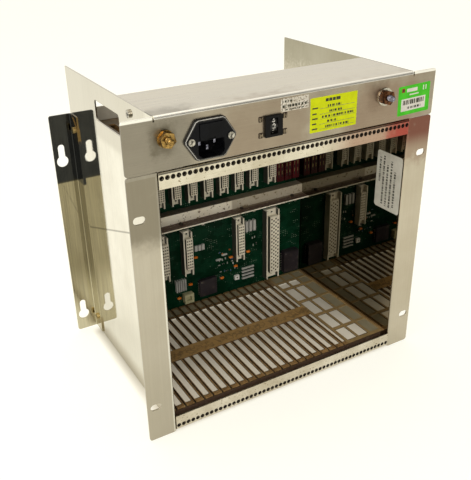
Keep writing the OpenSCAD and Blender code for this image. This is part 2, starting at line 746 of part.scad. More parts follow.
module inlet_screws() seated() color("gainsboro") for (s = [-1, 1])
  translate([inlet_cx + s * inlet_screws_pitch / 2, -inlet_flange_t, inlet_cz]) {
    difference() {
      translate([0, -1.2, 0]) along_y(0, 0, 0, inlet_head_d, 1.2, head_fn);
      translate([-0.4, -1.2 - through, -inlet_head_d / 2]) cube([0.8, through + 0.7, inlet_head_d]);
    }
    along_y(0, 0, 0, inlet_hole_d, inlet_flange_t + sheet_t + 4);
  }

module fuse_drawer() seated() color([0.15, 0.15, 0.16])
  translate([inlet_cx, -inlet_flange_t - drawer_proud, inlet_cz + drawer_z]) difference() {
    translate([-drawer_w / 2, 0, -drawer_h / 2]) cube([drawer_w, drawer_deep + inlet_flange_t, drawer_h]);
    translate([-drawer_w / 2 + 2, 5, -drawer_h / 2 + 2]) cube([drawer_w - 4, drawer_deep + inlet_flange_t, drawer_h - 4]);
    translate([-3.5, -through, -drawer_h / 2 - through]) cube([7, through + 1, through + 1.4]);
  }

module fuse() seated() color("lightcyan")
  translate([inlet_cx, -inlet_flange_t - drawer_proud + 8, inlet_cz + drawer_z - drawer_h / 2 + 2 + 2.6])
    along_x(-drawer_w / 2 + 2, 0, 0, 5.2, drawer_w - 4);

// ---- address switch ----

module switch_housing() seated() color([0.1, 0.1, 0.1]) translate([switch_cx, 0, switch_cz]) difference() {
  union() {
    translate([-switch_w / 2, -bezel_t, -switch_h / 2]) cube([switch_w, bezel_t, switch_h]);
    translate([-switch_w / 2 + 1, 0, -switch_h / 2 + 1]) cube([switch_w - 2, switch_depth, switch_h - 2]);
  }
  along_x(-wheel_w / 2 - wheel_clear, wheel_y, 0, 2 * (wheel_r + wheel_clear), wheel_w + 2 * wheel_clear, 96);
  translate([-wheel_w / 2 - wheel_clear, -bezel_t - through, -wheel_r + 1.6])
    cube([wheel_w + 2 * wheel_clear, 6, 2 * wheel_r - 3.2]);
  along_x(-switch_w / 2 - through, wheel_y, 0, axle_d, switch_w + 2 * through);
}

module switch_axle() seated() color("silver")
  along_x(switch_cx - switch_w / 2 + 1, wheel_y, switch_cz, axle_d, switch_w - 2);

module thumbwheel() seated() color([0.12, 0.12, 0.12]) translate([switch_cx, wheel_y, switch_cz]) difference() {
  along_x(-wheel_w / 2, 0, 0, 2 * wheel_r, wheel_w, 96);
  along_x(-wheel_w / 2 - through, 0, 0, axle_d + 2 * axle_clear, wheel_w + 2 * through);
  for (i = [0 : wheel_teeth - 1]) rotate([(i + 0.5) * 360 / wheel_teeth, 0, 0])
    along_x(-wheel_w / 2 - through, wheel_r + notch_r * 0.3, 0, 2 * notch_r, wheel_w + 2 * through, 24);
}

module switch_tabs() seated() color("silver")
  for (sx = [-1, 1], sz = [-1, 1]) translate([switch_cx + sx * tab_x, 0, switch_cz + sz * tab_z]) {
    translate([-1.6, -0.8, -1.8]) cube([1.2, 0.8, 3.6]);
    translate([0.6, -0.8, -1.8]) cube([1.2, 0.8, 3.6]);
    translate([-1.6, -0.4, -0.6]) cube([3.4, 0.4, 1.2]);
  }

// ---- earth terminals ----

// the stud's free end has its thread rolled smaller and a chamfered tip with a driver slot
module earth_stud(x) {
  free = stud_reach - washer_t - nut_h;
  along_y(x, -washer_t - nut_h, stud_cz, stud_d, washer_t + nut_h + sheet_t + stud_rear);
  difference() {
    union() {
      along_y(x, -stud_reach + stud_tip, stud_cz, stud_end_d, free - stud_tip);
      translate([x, -stud_reach, stud_cz]) rotate([-90, 0, 0])
        cylinder(d1 = stud_end_d - 2 * stud_tip, d2 = stud_end_d, h = stud_tip);
    }
    translate([x - stud_slot_w / 2, -stud_reach - through, stud_cz - stud_end_d])
      cube([stud_slot_w, stud_tip + through, 2 * stud_end_d]);
  }
}

module earth_nut(x) difference() {
  translate([x, 0, stud_cz]) rotate([0, 15, 0])
    along_y(0, -washer_t - nut_h, 0, nut_flats / cos(180 / hex_sides), nut_h, hex_sides);
  along_y(x, -washer_t - nut_h - through, stud_cz, stud_d, nut_h + 2 * through);
}

module earth_washer(x, d) difference() {
  along_y(x, -washer_t, stud_cz, d, washer_t);
  along_y(x, -washer_t - through, stud_cz, stud_d, washer_t + 2 * through);
}

module earth_stud_left() seated() color("gold") earth_stud(stud_cx[0]);
module earth_nut_left() seated() color("darkgoldenrod") earth_nut(stud_cx[0]);
module earth_washer_left() seated() color("darkgoldenrod") earth_washer(stud_cx[0], 14.4);
module earth_stud_right() seated() color("rosybrown") earth_stud(stud_cx[1]);
module earth_nut_right() seated() color("saddlebrown") earth_nut(stud_cx[1]);
module earth_washer_right() seated() color("silver") earth_washer(stud_cx[1], 16.6);

module rear_nuts() seated() color("darkgoldenrod") for (x = stud_cx) difference() {
  along_y(x, sheet_t, stud_cz, nut_flats / cos(180 / hex_sides), 5, hex_sides);
  along_y(x, sheet_t - through, stud_cz, stud_d, 5 + 2 * through);
}

side_plate_left();
side_plate_right();
top_housing();
front_rail_top();
front_rail_bottom();
threaded_strip_top();
threaded_strip_bottom();
rear_rail_top();
rear_rail_bottom();
middle_rail();
middle_rail_screws();
guide_grid_bottom();
guide_grid_top();
backplane_upper();
backplane_lower();
upper_connectors();
power_connectors();
half_connectors();
wide_connector();
board_chips();
board_capacitors();
resistor_arrays();
coil_socket();
jumper_block();
board_screws();
bracket_left();
bracket_right();
bracket_screws();
housing_screws();
mains_inlet();
fuse_drawer();
fuse();
inlet_pins();
inlet_screws();
switch_housing();
thumbwheel();
switch_axle();
switch_tabs();
earth_stud_left();
earth_nut_left();
earth_washer_left();
earth_stud_right();
earth_nut_right();
earth_washer_right();
rear_nuts();
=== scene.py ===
# Dresses the subrack card cage: stainless sheet, moulded guides, two boards and the front fittings
import bpy, bmesh, json, random
from collections import namedtuple
from math import cos, hypot, pi, radians, sin
from mathutils import Vector, Matrix


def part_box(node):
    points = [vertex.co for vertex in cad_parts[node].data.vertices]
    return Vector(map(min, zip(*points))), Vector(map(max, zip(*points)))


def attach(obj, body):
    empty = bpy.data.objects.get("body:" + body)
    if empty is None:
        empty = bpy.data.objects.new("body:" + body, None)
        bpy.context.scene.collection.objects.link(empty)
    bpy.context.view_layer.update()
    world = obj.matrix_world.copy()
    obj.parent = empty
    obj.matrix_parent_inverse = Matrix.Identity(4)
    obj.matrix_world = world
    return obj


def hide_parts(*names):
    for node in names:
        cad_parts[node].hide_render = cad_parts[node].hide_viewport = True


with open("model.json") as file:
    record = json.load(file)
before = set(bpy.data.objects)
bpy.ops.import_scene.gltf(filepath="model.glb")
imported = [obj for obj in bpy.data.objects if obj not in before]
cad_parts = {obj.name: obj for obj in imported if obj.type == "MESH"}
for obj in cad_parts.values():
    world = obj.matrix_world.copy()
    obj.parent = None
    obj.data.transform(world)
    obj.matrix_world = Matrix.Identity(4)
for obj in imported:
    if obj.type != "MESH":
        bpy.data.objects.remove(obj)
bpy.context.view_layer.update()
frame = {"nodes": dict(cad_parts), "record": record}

mm = 0.001
nodes = frame["nodes"]
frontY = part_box("top_housing")[0].y  # the plane of the ears and the front panel
point = namedtuple("point", "x y z")


def boxMm(node):
    # a solid's lowest, highest and middle point, in millimetres from the front plane
    low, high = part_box(node)
    middle = [(a + b) / 2 for a, b in zip(low, high)]
    return [point(x / mm, (y - frontY) / mm, z / mm) for x, y, z in (low, high, middle)]


wallX = boxMm("front_rail_top")[1].x  # the inner face of the right side plate
boardY = boxMm("backplane_lower")[0].y  # the lower board's front face


# tools for materials

def toLinear(hexText):
    parts = [int(hexText[i:i + 2], 16) / 255 for i in (1, 3, 5)]
    return tuple(c / 12.92 if c <= 0.04045 else ((c + 0.055) / 1.055) ** 2.4 for c in parts) + (1.0,)


def addNode(tree, kind, inputs=None, out=0, **settings):
    # adds a node, or takes one that is there, sets or links its inputs and gives back one output
    node = kind if isinstance(kind, bpy.types.Node) else tree.nodes.new("ShaderNode" + kind)
    for key, value in settings.items():
        setattr(node, key, value)
    for key, value in (inputs or {}).items():
        if isinstance(value, bpy.types.NodeSocket):
            tree.links.new(value, node.inputs[key])
        else:
            node.inputs[key].default_value = value
    return node.outputs[out] if len(node.outputs) else None


def newMaterial(name):
    material = bpy.data.materials.new(name)
    material.use_nodes = True
    tree = material.node_tree
    shader = next(n for n in tree.nodes if n.type == "BSDF_PRINCIPLED")
    return material, tree, shader


def surfacePoint(tree, stretch=(1, 1, 1)):
    # where a point lies, in millimetres from the front plane, divided by stretch along each axis
    coords = addNode(tree, "TexCoord", out="Object")
    scale = tuple(1 / (mm * s) for s in stretch)
    shift = (0, -frontY * scale[1], 0)
    return addNode(tree, "Mapping", {"Vector": coords, "Scale": scale, "Location": shift})


def patches(tree, sizeMm, low, high, toLow=0.0, toHigh=1.0, detail=3.0):
    # soft patches about sizeMm across: a share that runs from toLow to toHigh
    size = sizeMm if isinstance(sizeMm, tuple) else (sizeMm,) * 3
    cloud = addNode(tree, "TexNoise", {"Vector": surfacePoint(tree, size), "Scale": 1.0, "Detail": detail,
                                       "Roughness": 0.6})
    return addNode(tree, "MapRange", {"Value": cloud, 1: low, 2: high, 3: toLow, 4: toHigh})


def zone(colour=None, amount=1.0, x=(None, None), y=(None, None), z=(None, None), soft=1.0, **more):
    # a box in millimetres from the front plane, open where a limit is None, that fades over soft millimetres;
    # more: ragged (reach, size), facing (axis, sign), rise for each millimetre towards the rear
    return {"colour": colour, "amount": amount, "limits": (x, y, z), "soft": soft, **more}


def zoneShare(tree, area):
    # 1 inside a zone, fading to 0 outside it
    axes = list(addNode(tree, "SeparateXYZ", {0: surfacePoint(tree)}).node.outputs)
    if "rise" in area:
        axes[2] = addNode(tree, "Math", {0: axes[1], 1: -area["rise"], 2: axes[2]}, operation="MULTIPLY_ADD")
    if "ragged" in area:
        reach, sizeMm = area["ragged"]
        rough = patches(tree, sizeMm, 0.3, 0.7, -reach, reach)
        axes = [addNode(tree, "Math", {0: axis, 1: rough}, operation="ADD") for axis in axes]
    shares = []
    for axis, limits in zip(axes, area["limits"]):
        for limit, outward in zip(limits, (-1, 1)):
            if limit is not None:
                shares.append(addNode(tree, "MapRange", {"Value": axis, 1: limit, 2: limit + outward * area["soft"],
                                                         3: 1.0, 4: 0.0}, interpolation_type="SMOOTHSTEP"))
    if "facing" in area:
        axis, sign = area["facing"]
        normal = addNode(tree, "SeparateXYZ", {0: addNode(tree, "TexCoord", out="Normal")}).node.outputs[axis]
        shares.append(addNode(tree, "MapRange", {"Value": normal, 1: 0.5 * sign, 2: 0.9 * sign, 3: 0.0, 4: 1.0}))
    share = shares[0]
    for each in shares[1:] + [area["amount"]]:
        share = addNode(tree, "Math", {0: share, 1: each}, operation="MULTIPLY")
    return share


def layered(tree, base, layers):
    # lays colours over a base, each by its own share
    for share, hexText in layers:
        base = addNode(tree, "Mix", {0: share, 6: base, 7: toLinear(hexText)}, out=2, data_type="RGBA")
    return base


def clouded(tree, cloud, dark, light, zones=()):
    # a dark and a light colour mixed by a cloud, with each zone's own colour over them
    layers = [(cloud, light)] + [(zoneShare(tree, area), area["colour"]) for area in zones]
    return layered(tree, toLinear(dark), layers)


# tools for shapes

def newPiece(name, shape, finish, body="cage", smooth=False):
    # a finished mesh from a bmesh drawn in millimetres from the front plane
    mesh = bpy.data.meshes.new(name)
    bmesh.ops.scale(shape, vec=(mm, mm, mm), verts=shape.verts)
    bmesh.ops.translate(shape, vec=(0, frontY, 0), verts=shape.verts)
    bmesh.ops.recalc_face_normals(shape, faces=shape.faces)
    for face in shape.faces:
        face.smooth = smooth
    shape.to_mesh(mesh)
    shape.free()
    piece = bpy.data.objects.new(name, mesh)
    bpy.context.scene.collection.objects.link(piece)
    mesh.materials.append(finishes[finish])
    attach(piece, body)
    return piece


def rectangle(u0, v0, u1, v1):
    return [(u0, v0), (u1, v0), (u1, v1), (u0, v1)]


def roundedOutline(u0, v0, u1, v1, radius, steps=5):
    points = []
    for cu, cv, start in ((u1 - radius, v1 - radius, 0), (u0 + radius, v1 - radius, 90),
                          (u0 + radius, v0 + radius, 180), (u1 - radius, v0 + radius, 270)):
        for k in range(steps + 1):
            a = radians(start + 90 * k / steps)
            points.append((cu + radius * cos(a), cv + radius * sin(a)))
    return points


def addPrism(shape, outline, place, depth, inset=0.0):
    # a plate from an outline: place(u, v, w) gives the point, and the outer rim leans in by inset
    count = len(outline)
    cu = sum(u for u, v in outline) / count
    cv = sum(v for u, v in outline) / count
    low = [shape.verts.new(place(u, v, 0.0)) for u, v in outline]
    high = []
    for u, v in outline:
        far = hypot(u - cu, v - cv) or 1.0
        keep = 1 - inset / far
        high.append(shape.verts.new(place(cu + (u - cu) * keep, cv + (v - cv) * keep, depth)))
    shape.faces.new(high)
    shape.faces.new(low[::-1])
    joinRings(shape, (low, high), capped=False)


def joinRings(shape, rings, capped=True):
    # skins rings that have the same number of points, and closes both ends if asked
    for lower, upper in zip(rings, rings[1:]):
        for k in range(len(lower)):
            j = (k + 1) % len(lower)
            shape.faces.new((lower[k], lower[j], upper[j], upper[k]))
    if capped:
        shape.faces.new(rings[0][::-1])
        shape.faces.new(rings[-1])


def turns(steps):
    # equal steps of angle round a circle
    return [2 * pi * k / steps for k in range(steps)]


def addTurned(shape, profile, place, steps=24):
    # a turned body: the profile's (radius, height) points swept round, closed at both ends
    joinRings(shape, [[shape.verts.new(place(radius * cos(a), radius * sin(a), height)) for a in turns(steps)]
                      for radius, height in profile])


def onFront(x, z, y=0.0):
    # a sheet's outline drawn on a plane that faces the front, its thickness growing forwards
    return lambda u, v, w: (x + u, y - w, z + v)


def turned(x, z, degrees):
    # like onFront, with the outline turned on the plane
    a = radians(degrees)
    return lambda u, v, w: (x + u * cos(a) - v * sin(a), -w, z + u * sin(a) + v * cos(a))


# camera and stage

cameraView = {
    "fromFront": (-329.7, -467.4, 457.1),  # millimetres from the middle of the front plane's lower edge
    "azimuth": -29.704,
    "elevation": 26.643,
    "roll": -1.163,
    "lens": 50.99,
    "sensorHeight": 36,
    "clipStart": 0.01,  # metres
}


def makeCamera(spec):
    data = bpy.data.cameras.new("studioCamera")
    camera = bpy.data.objects.new("studioCamera", data)
    bpy.context.scene.collection.objects.link(camera)
    a, e, r = (radians(spec[key]) for key in ("azimuth", "elevation", "roll"))
    forward = Vector((-sin(a) * cos(e), cos(a) * cos(e), -sin(e)))
    right = forward.cross(Vector((0, 0, 1))).normalized()
    up = right.cross(forward)
    rolledRight = cos(r) * right + sin(r) * up
    rolledUp = -sin(r) * right + cos(r) * up
    x, y, z = spec["fromFront"]
    turn = Matrix((rolledRight, rolledUp, -forward)).transposed().to_4x4()
    camera.matrix_world = Matrix.Translation((x * mm, y * mm + frontY, z * mm)) @ turn
    data.sensor_fit = "VERTICAL"
    data.sensor_height = spec["sensorHeight"]
    data.lens = spec["lens"]
    data.clip_start = spec["clipStart"]
    bpy.context.scene.camera = camera


makeCamera(cameraView)

studio = {
    "floorColour": "#fffef4",
    "floorLit": 0.42,         # share of the floor's white that the lamps light
    "floorGlow": 0.70,        # share of it that needs no light
    "floorUnderFront": 0.44,  # the same under the cage, lowered there as a painted shadow
    "floorUnderRear": 0.20,
    # painted shadow: the warm tint of the glow under the cage
    "underColour": "#efe2c8",
    "floorHalf": 8.0,
    "floorDrop": 0.0004,      # keeps the floor clear of the feet
    "roomColour": "#fffaf0",
    "wallLow": 0.16,          # the dark room in front
    "wallHigh": 1.0,          # the pale room behind
    "paleSide": (-0.35, 0.8, 0.5),
    "aim": (0, 0, 0.15),
    "lamps": (("topSoftbox", (-0.35, 0.35, 1.7), 1.8, 9.0, "#fff6e6"),  # name, place, size, power, colour
              ("leftSoftbox", (-1.6, -0.5, 0.9), 1.0, 2.0, "#fffaf0"),
              ("frontSoftbox", (-1.0, -1.9, 1.0), 1.4, 26.0, "#fffaf2")),
}


def paleFloor(spec):
    # matt paper sweep: keeps the object's soft shadow on a nearly white ground; under the cage a painted shadow lowers
    # and warms its glow
    material, tree, shader = newMaterial("paperSweep")
    tint = toLinear(spec["floorColour"])
    # painted shadow: less glow, tinted warm, under the cage and more so towards its rear
    under = zoneShare(tree, zone(x=(-wallX, wallX), y=(10, 200), soft=14))
    deep = zoneShare(tree, zone(y=(120, None), soft=100))
    shaded = addNode(tree, "MapRange", {"Value": deep, 3: spec["floorUnderFront"], 4: spec["floorUnderRear"]})
    glow = addNode(tree, "Mix", {0: under, 2: spec["floorGlow"], 3: shaded}, data_type="FLOAT")
    rays = addNode(tree, "LightPath").node.outputs
    seen = addNode(tree, "Math", {0: rays["Is Camera Ray"], 1: rays["Is Transmission Ray"]}, operation="MAXIMUM")
    seen = addNode(tree, "Math", {0: seen, 1: rays["Is Glossy Ray"]}, operation="MAXIMUM")
    addNode(tree, shader, {"Base Color": tuple(spec["floorLit"] * c for c in tint[:3]) + (1,), "Roughness": 0.9,
                           "Specular IOR Level": 0.1,
                           "Emission Color": layered(tree, tint, [(under, spec["underColour"])]),
                           "Emission Strength": addNode(tree, "Math", {0: seen, 1: glow}, operation="MULTIPLY")})
    return material


def makeStage(spec):
    mesh = bpy.data.meshes.new("floor")
    half = spec["floorHalf"]
    mesh.from_pydata([(u, v, 0) for u, v in rectangle(-half, -half, half, half)], [], [(0, 1, 2, 3)])
    floor = bpy.data.objects.new("floor", mesh)
    floor.location.z = -spec["floorDrop"]
    bpy.context.scene.collection.objects.link(floor)
    mesh.materials.append(paleFloor(spec))
    for name, where, size, power, colour in spec["lamps"]:
        lamp = bpy.data.lights.new(name, "AREA")
        lamp.shape, lamp.size, lamp.energy = "SQUARE", size, power
        lamp.color = toLinear(colour)[:3]
        holder = bpy.data.objects.new(name, lamp)
        holder.location = where
        holder.rotation_euler = (Vector(spec["aim"]) - Vector(where)).to_track_quat("-Z", "Y").to_euler()
        bpy.context.scene.collection.objects.link(holder)
    world = bpy.data.worlds.new("studioRoom")
    world.use_nodes = True
    bpy.context.scene.world = world
    tree = world.node_tree
    tree.nodes.clear()
    # the room is pale behind and to the left of the object, and dark in front of it
    facing = addNode(tree, "VectorMath", {0: addNode(tree, "TexCoord", out="Generated"), 1: spec["paleSide"]},
                     out="Value", operation="DOT_PRODUCT")
    room = addNode(tree, "MapRange", {"Value": facing, 1: -0.45, 2: 0.45, 3: spec["wallLow"], 4: spec["wallHigh"]})
    rays = addNode(tree, "LightPath").node.outputs
    direct = addNode(tree, "Math", {0: rays["Is Camera Ray"], 1: rays["Is Transmission Ray"]}, operation="MAXIMUM")
    strength = addNode(tree, "Mix", {0: direct, 2: room, 3: 1.0}, data_type="FLOAT")
    glow = addNode(tree, "Background", {"Color": toLinear(spec["roomColour"]), "Strength": strength})
    addNode(tree, "OutputWorld", {"Surface": glow})


makeStage(studio)
bpy.context.scene.view_settings.view_transform = "Standard"
print("stage ready")


# finishes

sheetBase = {"smearMm": (9, 9, 60), "waveMm": 0.03, "waveLongMm": 70, "edgeMm": 0.4, "metallic": 1.0}
railBase = {**sheetBase, "grainMm": (150, 2.0, 1.0), "cloudMm": (30, 30, 30), "lineDepth": 0.08, "smear": 0.12,
            "grainHeightMm": 0.005}
sheetFinishes = {
    # mirror-polished side plates: the left one hazed by hand marks, the right one still a mirror inside
    "leftPlate": {
        **sheetBase, "dark": "#d6d1c3", "light": "#edeadf", "grainMm": (2.0, 2.0, 120), "cloudMm": (50, 50, 70),
        "lineDepth": 0.04, "rough": 0.03, "smear": 0.07, "smearMm": (20, 26, 34), "grainHeightMm": 0.004,
        "waveMm": 0.05,
        "zones": (
            # a dark line that falls towards the rear
            zone("#716c5d", 0.7, y=(3, 200), z=(207.5, 208.4), soft=0.9, rise=-0.352),
            zone("#c2bdac", 0.7, y=(3, None), z=(None, 50), soft=60),  # the mirrored ground
            zone("#5b5744", 0.9, y=(3, None), facing=(2, 1)),  # sheared upper edges
            zone("#cdc8bb", 0.8, y=(20, None), z=(262, None), soft=8),  # beside the housing
            zone("#a39a87", 0.75, x=(-161, -135.2), y=(None, 1.6), z=(None, 262), soft=0.5),  # the ear
            # hand marks on the ear
            zone("#7d7666", 0.85, x=(-161, -135.2), y=(None, 1.6), z=(214, 266), soft=22, ragged=(5, 14)),
        )},
    "rightPlate": {
        **sheetBase, "dark": "#b3ac9a", "light": "#cdc7b8", "grainMm": (2.0, 2.0, 120), "cloudMm": (60, 60, 60),
        "lineDepth": 0.03, "rough": 0.018, "smear": 0.03, "grainHeightMm": 0.001, "waveMm": 0.10,
        "zones": (
            zone("#868174", y=(2, None), z=(None, 262), soft=2, facing=(0, -1)),  # painted reflection: the inner face darkened, as it mirrors the shaded sides of the parts
            # rubbed patch behind the housing
            zone("#8b8771", 0.5, y=(30, None), z=(292, None), soft=20, ragged=(8, 4), facing=(0, -1)),
            zone("#5b5744", 0.9, y=(3, None), facing=(2, 1)),  # sheared upper edges
            # red-brown stain on the ear
            zone("#6a3324", 0.9, x=(134, 161), y=(None, 2.6), z=(232, 268), soft=20, ragged=(6, 9)),
            zone("#b1a690", 0.6, x=(134, 161), y=(None, 2.6), z=(None, 231), soft=20),  # the ear below it
        )},
    # satin housing: a painted reflection makes the cover paler, brownish mottling on the front
    "satin": {
        **sheetBase, "dark": "#9c9281", "light": "#b3aa97", "grainMm": (160, 3.0, 0.9), "cloudMm": (38, 45, 26),
        "lineDepth": 0.10, "rough": 0.34, "smear": 0.08, "grainHeightMm": 0.006, "waveMm": 0.05, "edgeMm": 0.5,
        "zones": (
            zone("#d2cec2", z=(300, None), soft=4, facing=(2, 1)),  # the cover: upward faces painted paler, a painted reflection of the bright ceiling
            # grey left end
            zone("#878276", 0.7, x=(-161, -112), y=(None, 2), z=(262, 306), soft=26, ragged=(6, 16)),
            # painted shadow round the left stud
            zone("#57503f", 0.6, x=(-131, -122), y=(None, 2), z=(284, 297), soft=11, ragged=(3, 6)),
            # painted shadow round the right stud
            zone("#574c40", 0.65, x=(86, 96), y=(None, 2), z=(287, 299), soft=12, ragged=(3, 6)),
            zone("#94826e", 0.55, x=(-60, -2), y=(None, 2), z=(262, 300), soft=22, ragged=(8, 18)),  # mottling
            zone("#95806c", 0.7, x=(66, 130), y=(None, 2), z=(262, 292), soft=26, ragged=(8, 18)),  # mottling
            zone("#fffdf4", y=(-1, 2.6), z=(308.2, None), soft=0.7),  # painted highlight along the fold
        )},
    # bright rails with dried brown dirt on their faces
    "rail": {
        **railBase, "dark": "#bdb49d", "light": "#dcd5c2", "rough": 0.20,
        "specks": {"sizeMm": (3.2, 3.2, 2.2), "from": 0.62, "colour": "#7c6a4c"},
        "zones": (
            zone("#a07c66", 0.75, x=(70, 133), y=(None, 1.6), z=(249, 266), soft=40),  # a reflected brown
            # a red patch at its end
            zone("#a02a26", 0.8, x=(118, 133), y=(None, 1.6), z=(249, 256.6), soft=24, ragged=(5, 8)),
        )},
    # dull zinc-plated rear rail
    "rearRail": {**railBase, "dark": "#c9c4b4", "light": "#e4e0d3", "metallic": 0.3, "lineDepth": 0.05, "rough": 0.5,
                 "smear": 0.1},
    "lowRail": {
        **railBase, "dark": "#b9ae97", "light": "#ddd5c2", "rough": 0.22,
        "specks": {"sizeMm": (3.0, 3.0, 2.0), "from": 0.60, "colour": "#7c6a4c"},
        "dirt": zone(amount=0.9, y=(1.9, 15), z=(None, 17), soft=0.6),
        "zones": (
            # caked dirt and painted shade in the channel behind the face
            zone("#7d5f4c", 0.9, y=(1.9, 15), z=(None, 17), soft=0.6, ragged=(1.5, 5)),
        )},
    "midRail": {
        **railBase, "dark": "#efe6d0", "light": "#fffaea", "cloudMm": (24, 30, 20), "metallic": 0.1, "lineDepth": 0.05,
        "rough": 0.45,
        "specks": {"sizeMm": (4.0, 3.0, 3.0), "from": 0.58, "colour": "#86765a"},
        "zones": (
            zone("#33291c", 0.9, facing=(2, 1)),  # flanges in shade
            zone("#452b1e", 0.9, y=(158.6, 172), z=(None, 130), soft=0.4),  # the front flange
            zone("#9d927c", 0.7, x=(33, None), y=(170, None), z=(130, None), soft=3),  # darker towards the right end
        )},
    # the wall brackets mirror the dark side of the room: blue-grey above, streaked olive below
    "bracket": {
        **sheetBase, "dark": "#6a6862", "light": "#8d8a82", "grainMm": (1.5, 1.5, 100), "cloudMm": (40, 40, 50),
        "lineDepth": 0.22, "rough": 0.06, "smear": 0.08, "smearMm": (8, 8, 60), "grainHeightMm": 0.004,
        "zones": (
            zone("#a49b7c", 0.8, z=(None, 189), soft=1.5),  # painted reflection below: olive, with streaks
            zone("#d3ccb0", 0.8, z=(None, 40), soft=50),  # painted reflection of the pale floor at the foot
            zone("#1b2023", 0.85, z=(189, None), soft=1.5),  # painted reflection of the dark room on the upper part
            # brassy painted reflection of the upper screw
            zone("#9a7c42", 0.5, x=(-138, -128), y=(190, 206), z=(238, None), soft=4, ragged=(5, 3)),
            # the same at the lower screw
            zone("#9a7c42", 0.4, x=(-138, -128), y=(190, 206), z=(8, 20), soft=4, ragged=(5, 3)),
        )},
}


def stainlessSheet(name, spec):
    # cold-rolled stainless: grain lines, stains and hand marks change its gloss more than its colour
    material, tree, shader = newMaterial(name)
    grain = patches(tree, spec["grainMm"], 0.35, 0.65, detail=2.0)  # coarser than the real 0.05 mm, so that it shows
    cloud = patches(tree, spec["cloudMm"], 0.3, 0.7, detail=4.0)
    smear = patches(tree, spec["smearMm"], 0.5, 0.8)
    wave = patches(tree, spec["waveLongMm"], 0.0, 1.0, detail=1.0)  # the slow waves of thin sheet
    colour = clouded(tree, cloud, spec["dark"], spec["light"], spec.get("zones", ()))
    if "specks" in spec:  # dried dirt in fine spots
        dried = spec["specks"]
        specks = patches(tree, dried["sizeMm"], dried["from"], dried["from"] + 0.06, detail=4.0)
        colour = layered(tree, colour, [(specks, dried["colour"])])
    lines = addNode(tree, "MapRange", {"Value": grain, 3: 1 - spec["lineDepth"], 4: 1.0})
    lines = addNode(tree, "CombineColor", {0: lines, 1: lines, 2: lines})
    colour = addNode(tree, "Mix", {0: 1.0, 6: colour, 7: lines}, out=2, data_type="RGBA", blend_type="MULTIPLY")
    gloss = addNode(tree, "MapRange", {"Value": grain, 3: spec["rough"] * 0.8, 4: spec["rough"] * 1.2})
    gloss = addNode(tree, "Math", {0: smear, 1: spec["smear"], 2: gloss}, operation="MULTIPLY_ADD")
    metallic = spec["metallic"]
    if "dirt" in spec:  # caked dirt and painted shade dull the metal
        metallic = addNode(tree, "Math", {0: metallic, 1: zoneShare(tree, spec["dirt"])}, operation="SUBTRACT")
    normal = addNode(tree, "Bevel", {"Radius": spec["edgeMm"] * mm}, samples=4)  # softens the sheared edges
    for height, deep in ((grain, spec["grainHeightMm"]), (wave, spec["waveMm"])):
        normal = addNode(tree, "Bump", {"Height": height, "Distance": deep * mm, "Normal": normal})
    addNode(tree, shader, {"Base Color": colour, "Metallic": metallic, "Roughness": gloss, "Normal": normal})
    return material


plastics = {
    # guide grids: brown glass-filled plastic, with painted light on the flat cross band and darker towards the rear
    "guide_plastic": {
        "dark": "#6e5330", "light": "#9c7b4c", "rough": 0.45, "dust": 0.45, "cloudMm": 11, "ior": 1.55,
        "dustColour": "#a08a60",
        "zones": (
            zone("#bb965c", 0.6, y=(79, 95), z=(18, 20), soft=1.5),  # painted light on the flat cross band
            zone("#5a4a30", 0.6, y=(150, 175), z=(None, 20), soft=6, ragged=(5, 12)),  # darker, ragged patches at the rear
            zone("#a08c60", 0.5, x=(82, 128), y=(8, 175), z=(17, 20), soft=2),  # window field
            zone("#473a26", 0.6, y=(82, 90), z=(18.9, 20), soft=3, ragged=(9, 7)),  # dirt on the band
            zone("#8d8973", 0.85, z=(18.3, 18.5), soft=0.05, facing=(2, 1)),  # bottoms of the pockets
            zone("#191209", 0.9, z=(None, 18.15), soft=0.1),  # shaded lower faces
            zone("#2f2819", 0.85, z=(261.5, None), soft=0.2, facing=(2, 1)),  # the upper grid seen on its edge
        )},
    "connector_beige": {"dark": "#e2dbc6", "light": "#f2ecd9", "rough": 0.45, "dust": 0.06,
                        "zones": (zone("#14160f", 0.95, facing=(0, -1)),)},  # painted shade on the sides that look left
    "connector_red": {"dark": "#33060c", "light": "#520d16", "rough": 0.3, "dust": 0.02, "ior": 1.25},
    "chip_dark": {"dark": "#1c171d", "light": "#2b252b", "rough": 0.4},
    "capacitor_orange": {"dark": "#d4661a", "light": "#f08c2c", "rough": 0.25, "dust": 0.05},
    "array_grey": {"dark": "#a4a4a0", "light": "#c6c6c0", "rough": 0.35, "dust": 0.05},
    "part_blue": {"dark": "#1b3560", "light": "#2c5890", "rough": 0.3, "dust": 0.05},
    "coil_ivory": {"dark": "#a8a57e", "light": "#c6c29c", "rough": 0.5},
    "jumper_white": {"dark": "#dcdad4", "light": "#efeeea", "rough": 0.45, "dust": 0.05},
    "inlet_black": {"dark": "#08090b", "light": "#101115", "rough": 0.26, "dust": 0.01, "ior": 1.2},
    "inletGloss": {"dark": "#111110", "light": "#33322e", "rough": 0.18, "dust": 0.05, "ior": 1.35},
    "switch_black": {"dark": "#0a0909", "light": "#131211", "rough": 0.40, "dust": 0.01, "ior": 1.22},
    "wheel_black": {"dark": "#0e0d0d", "light": "#191817", "rough": 0.5, "dust": 0.03},
}


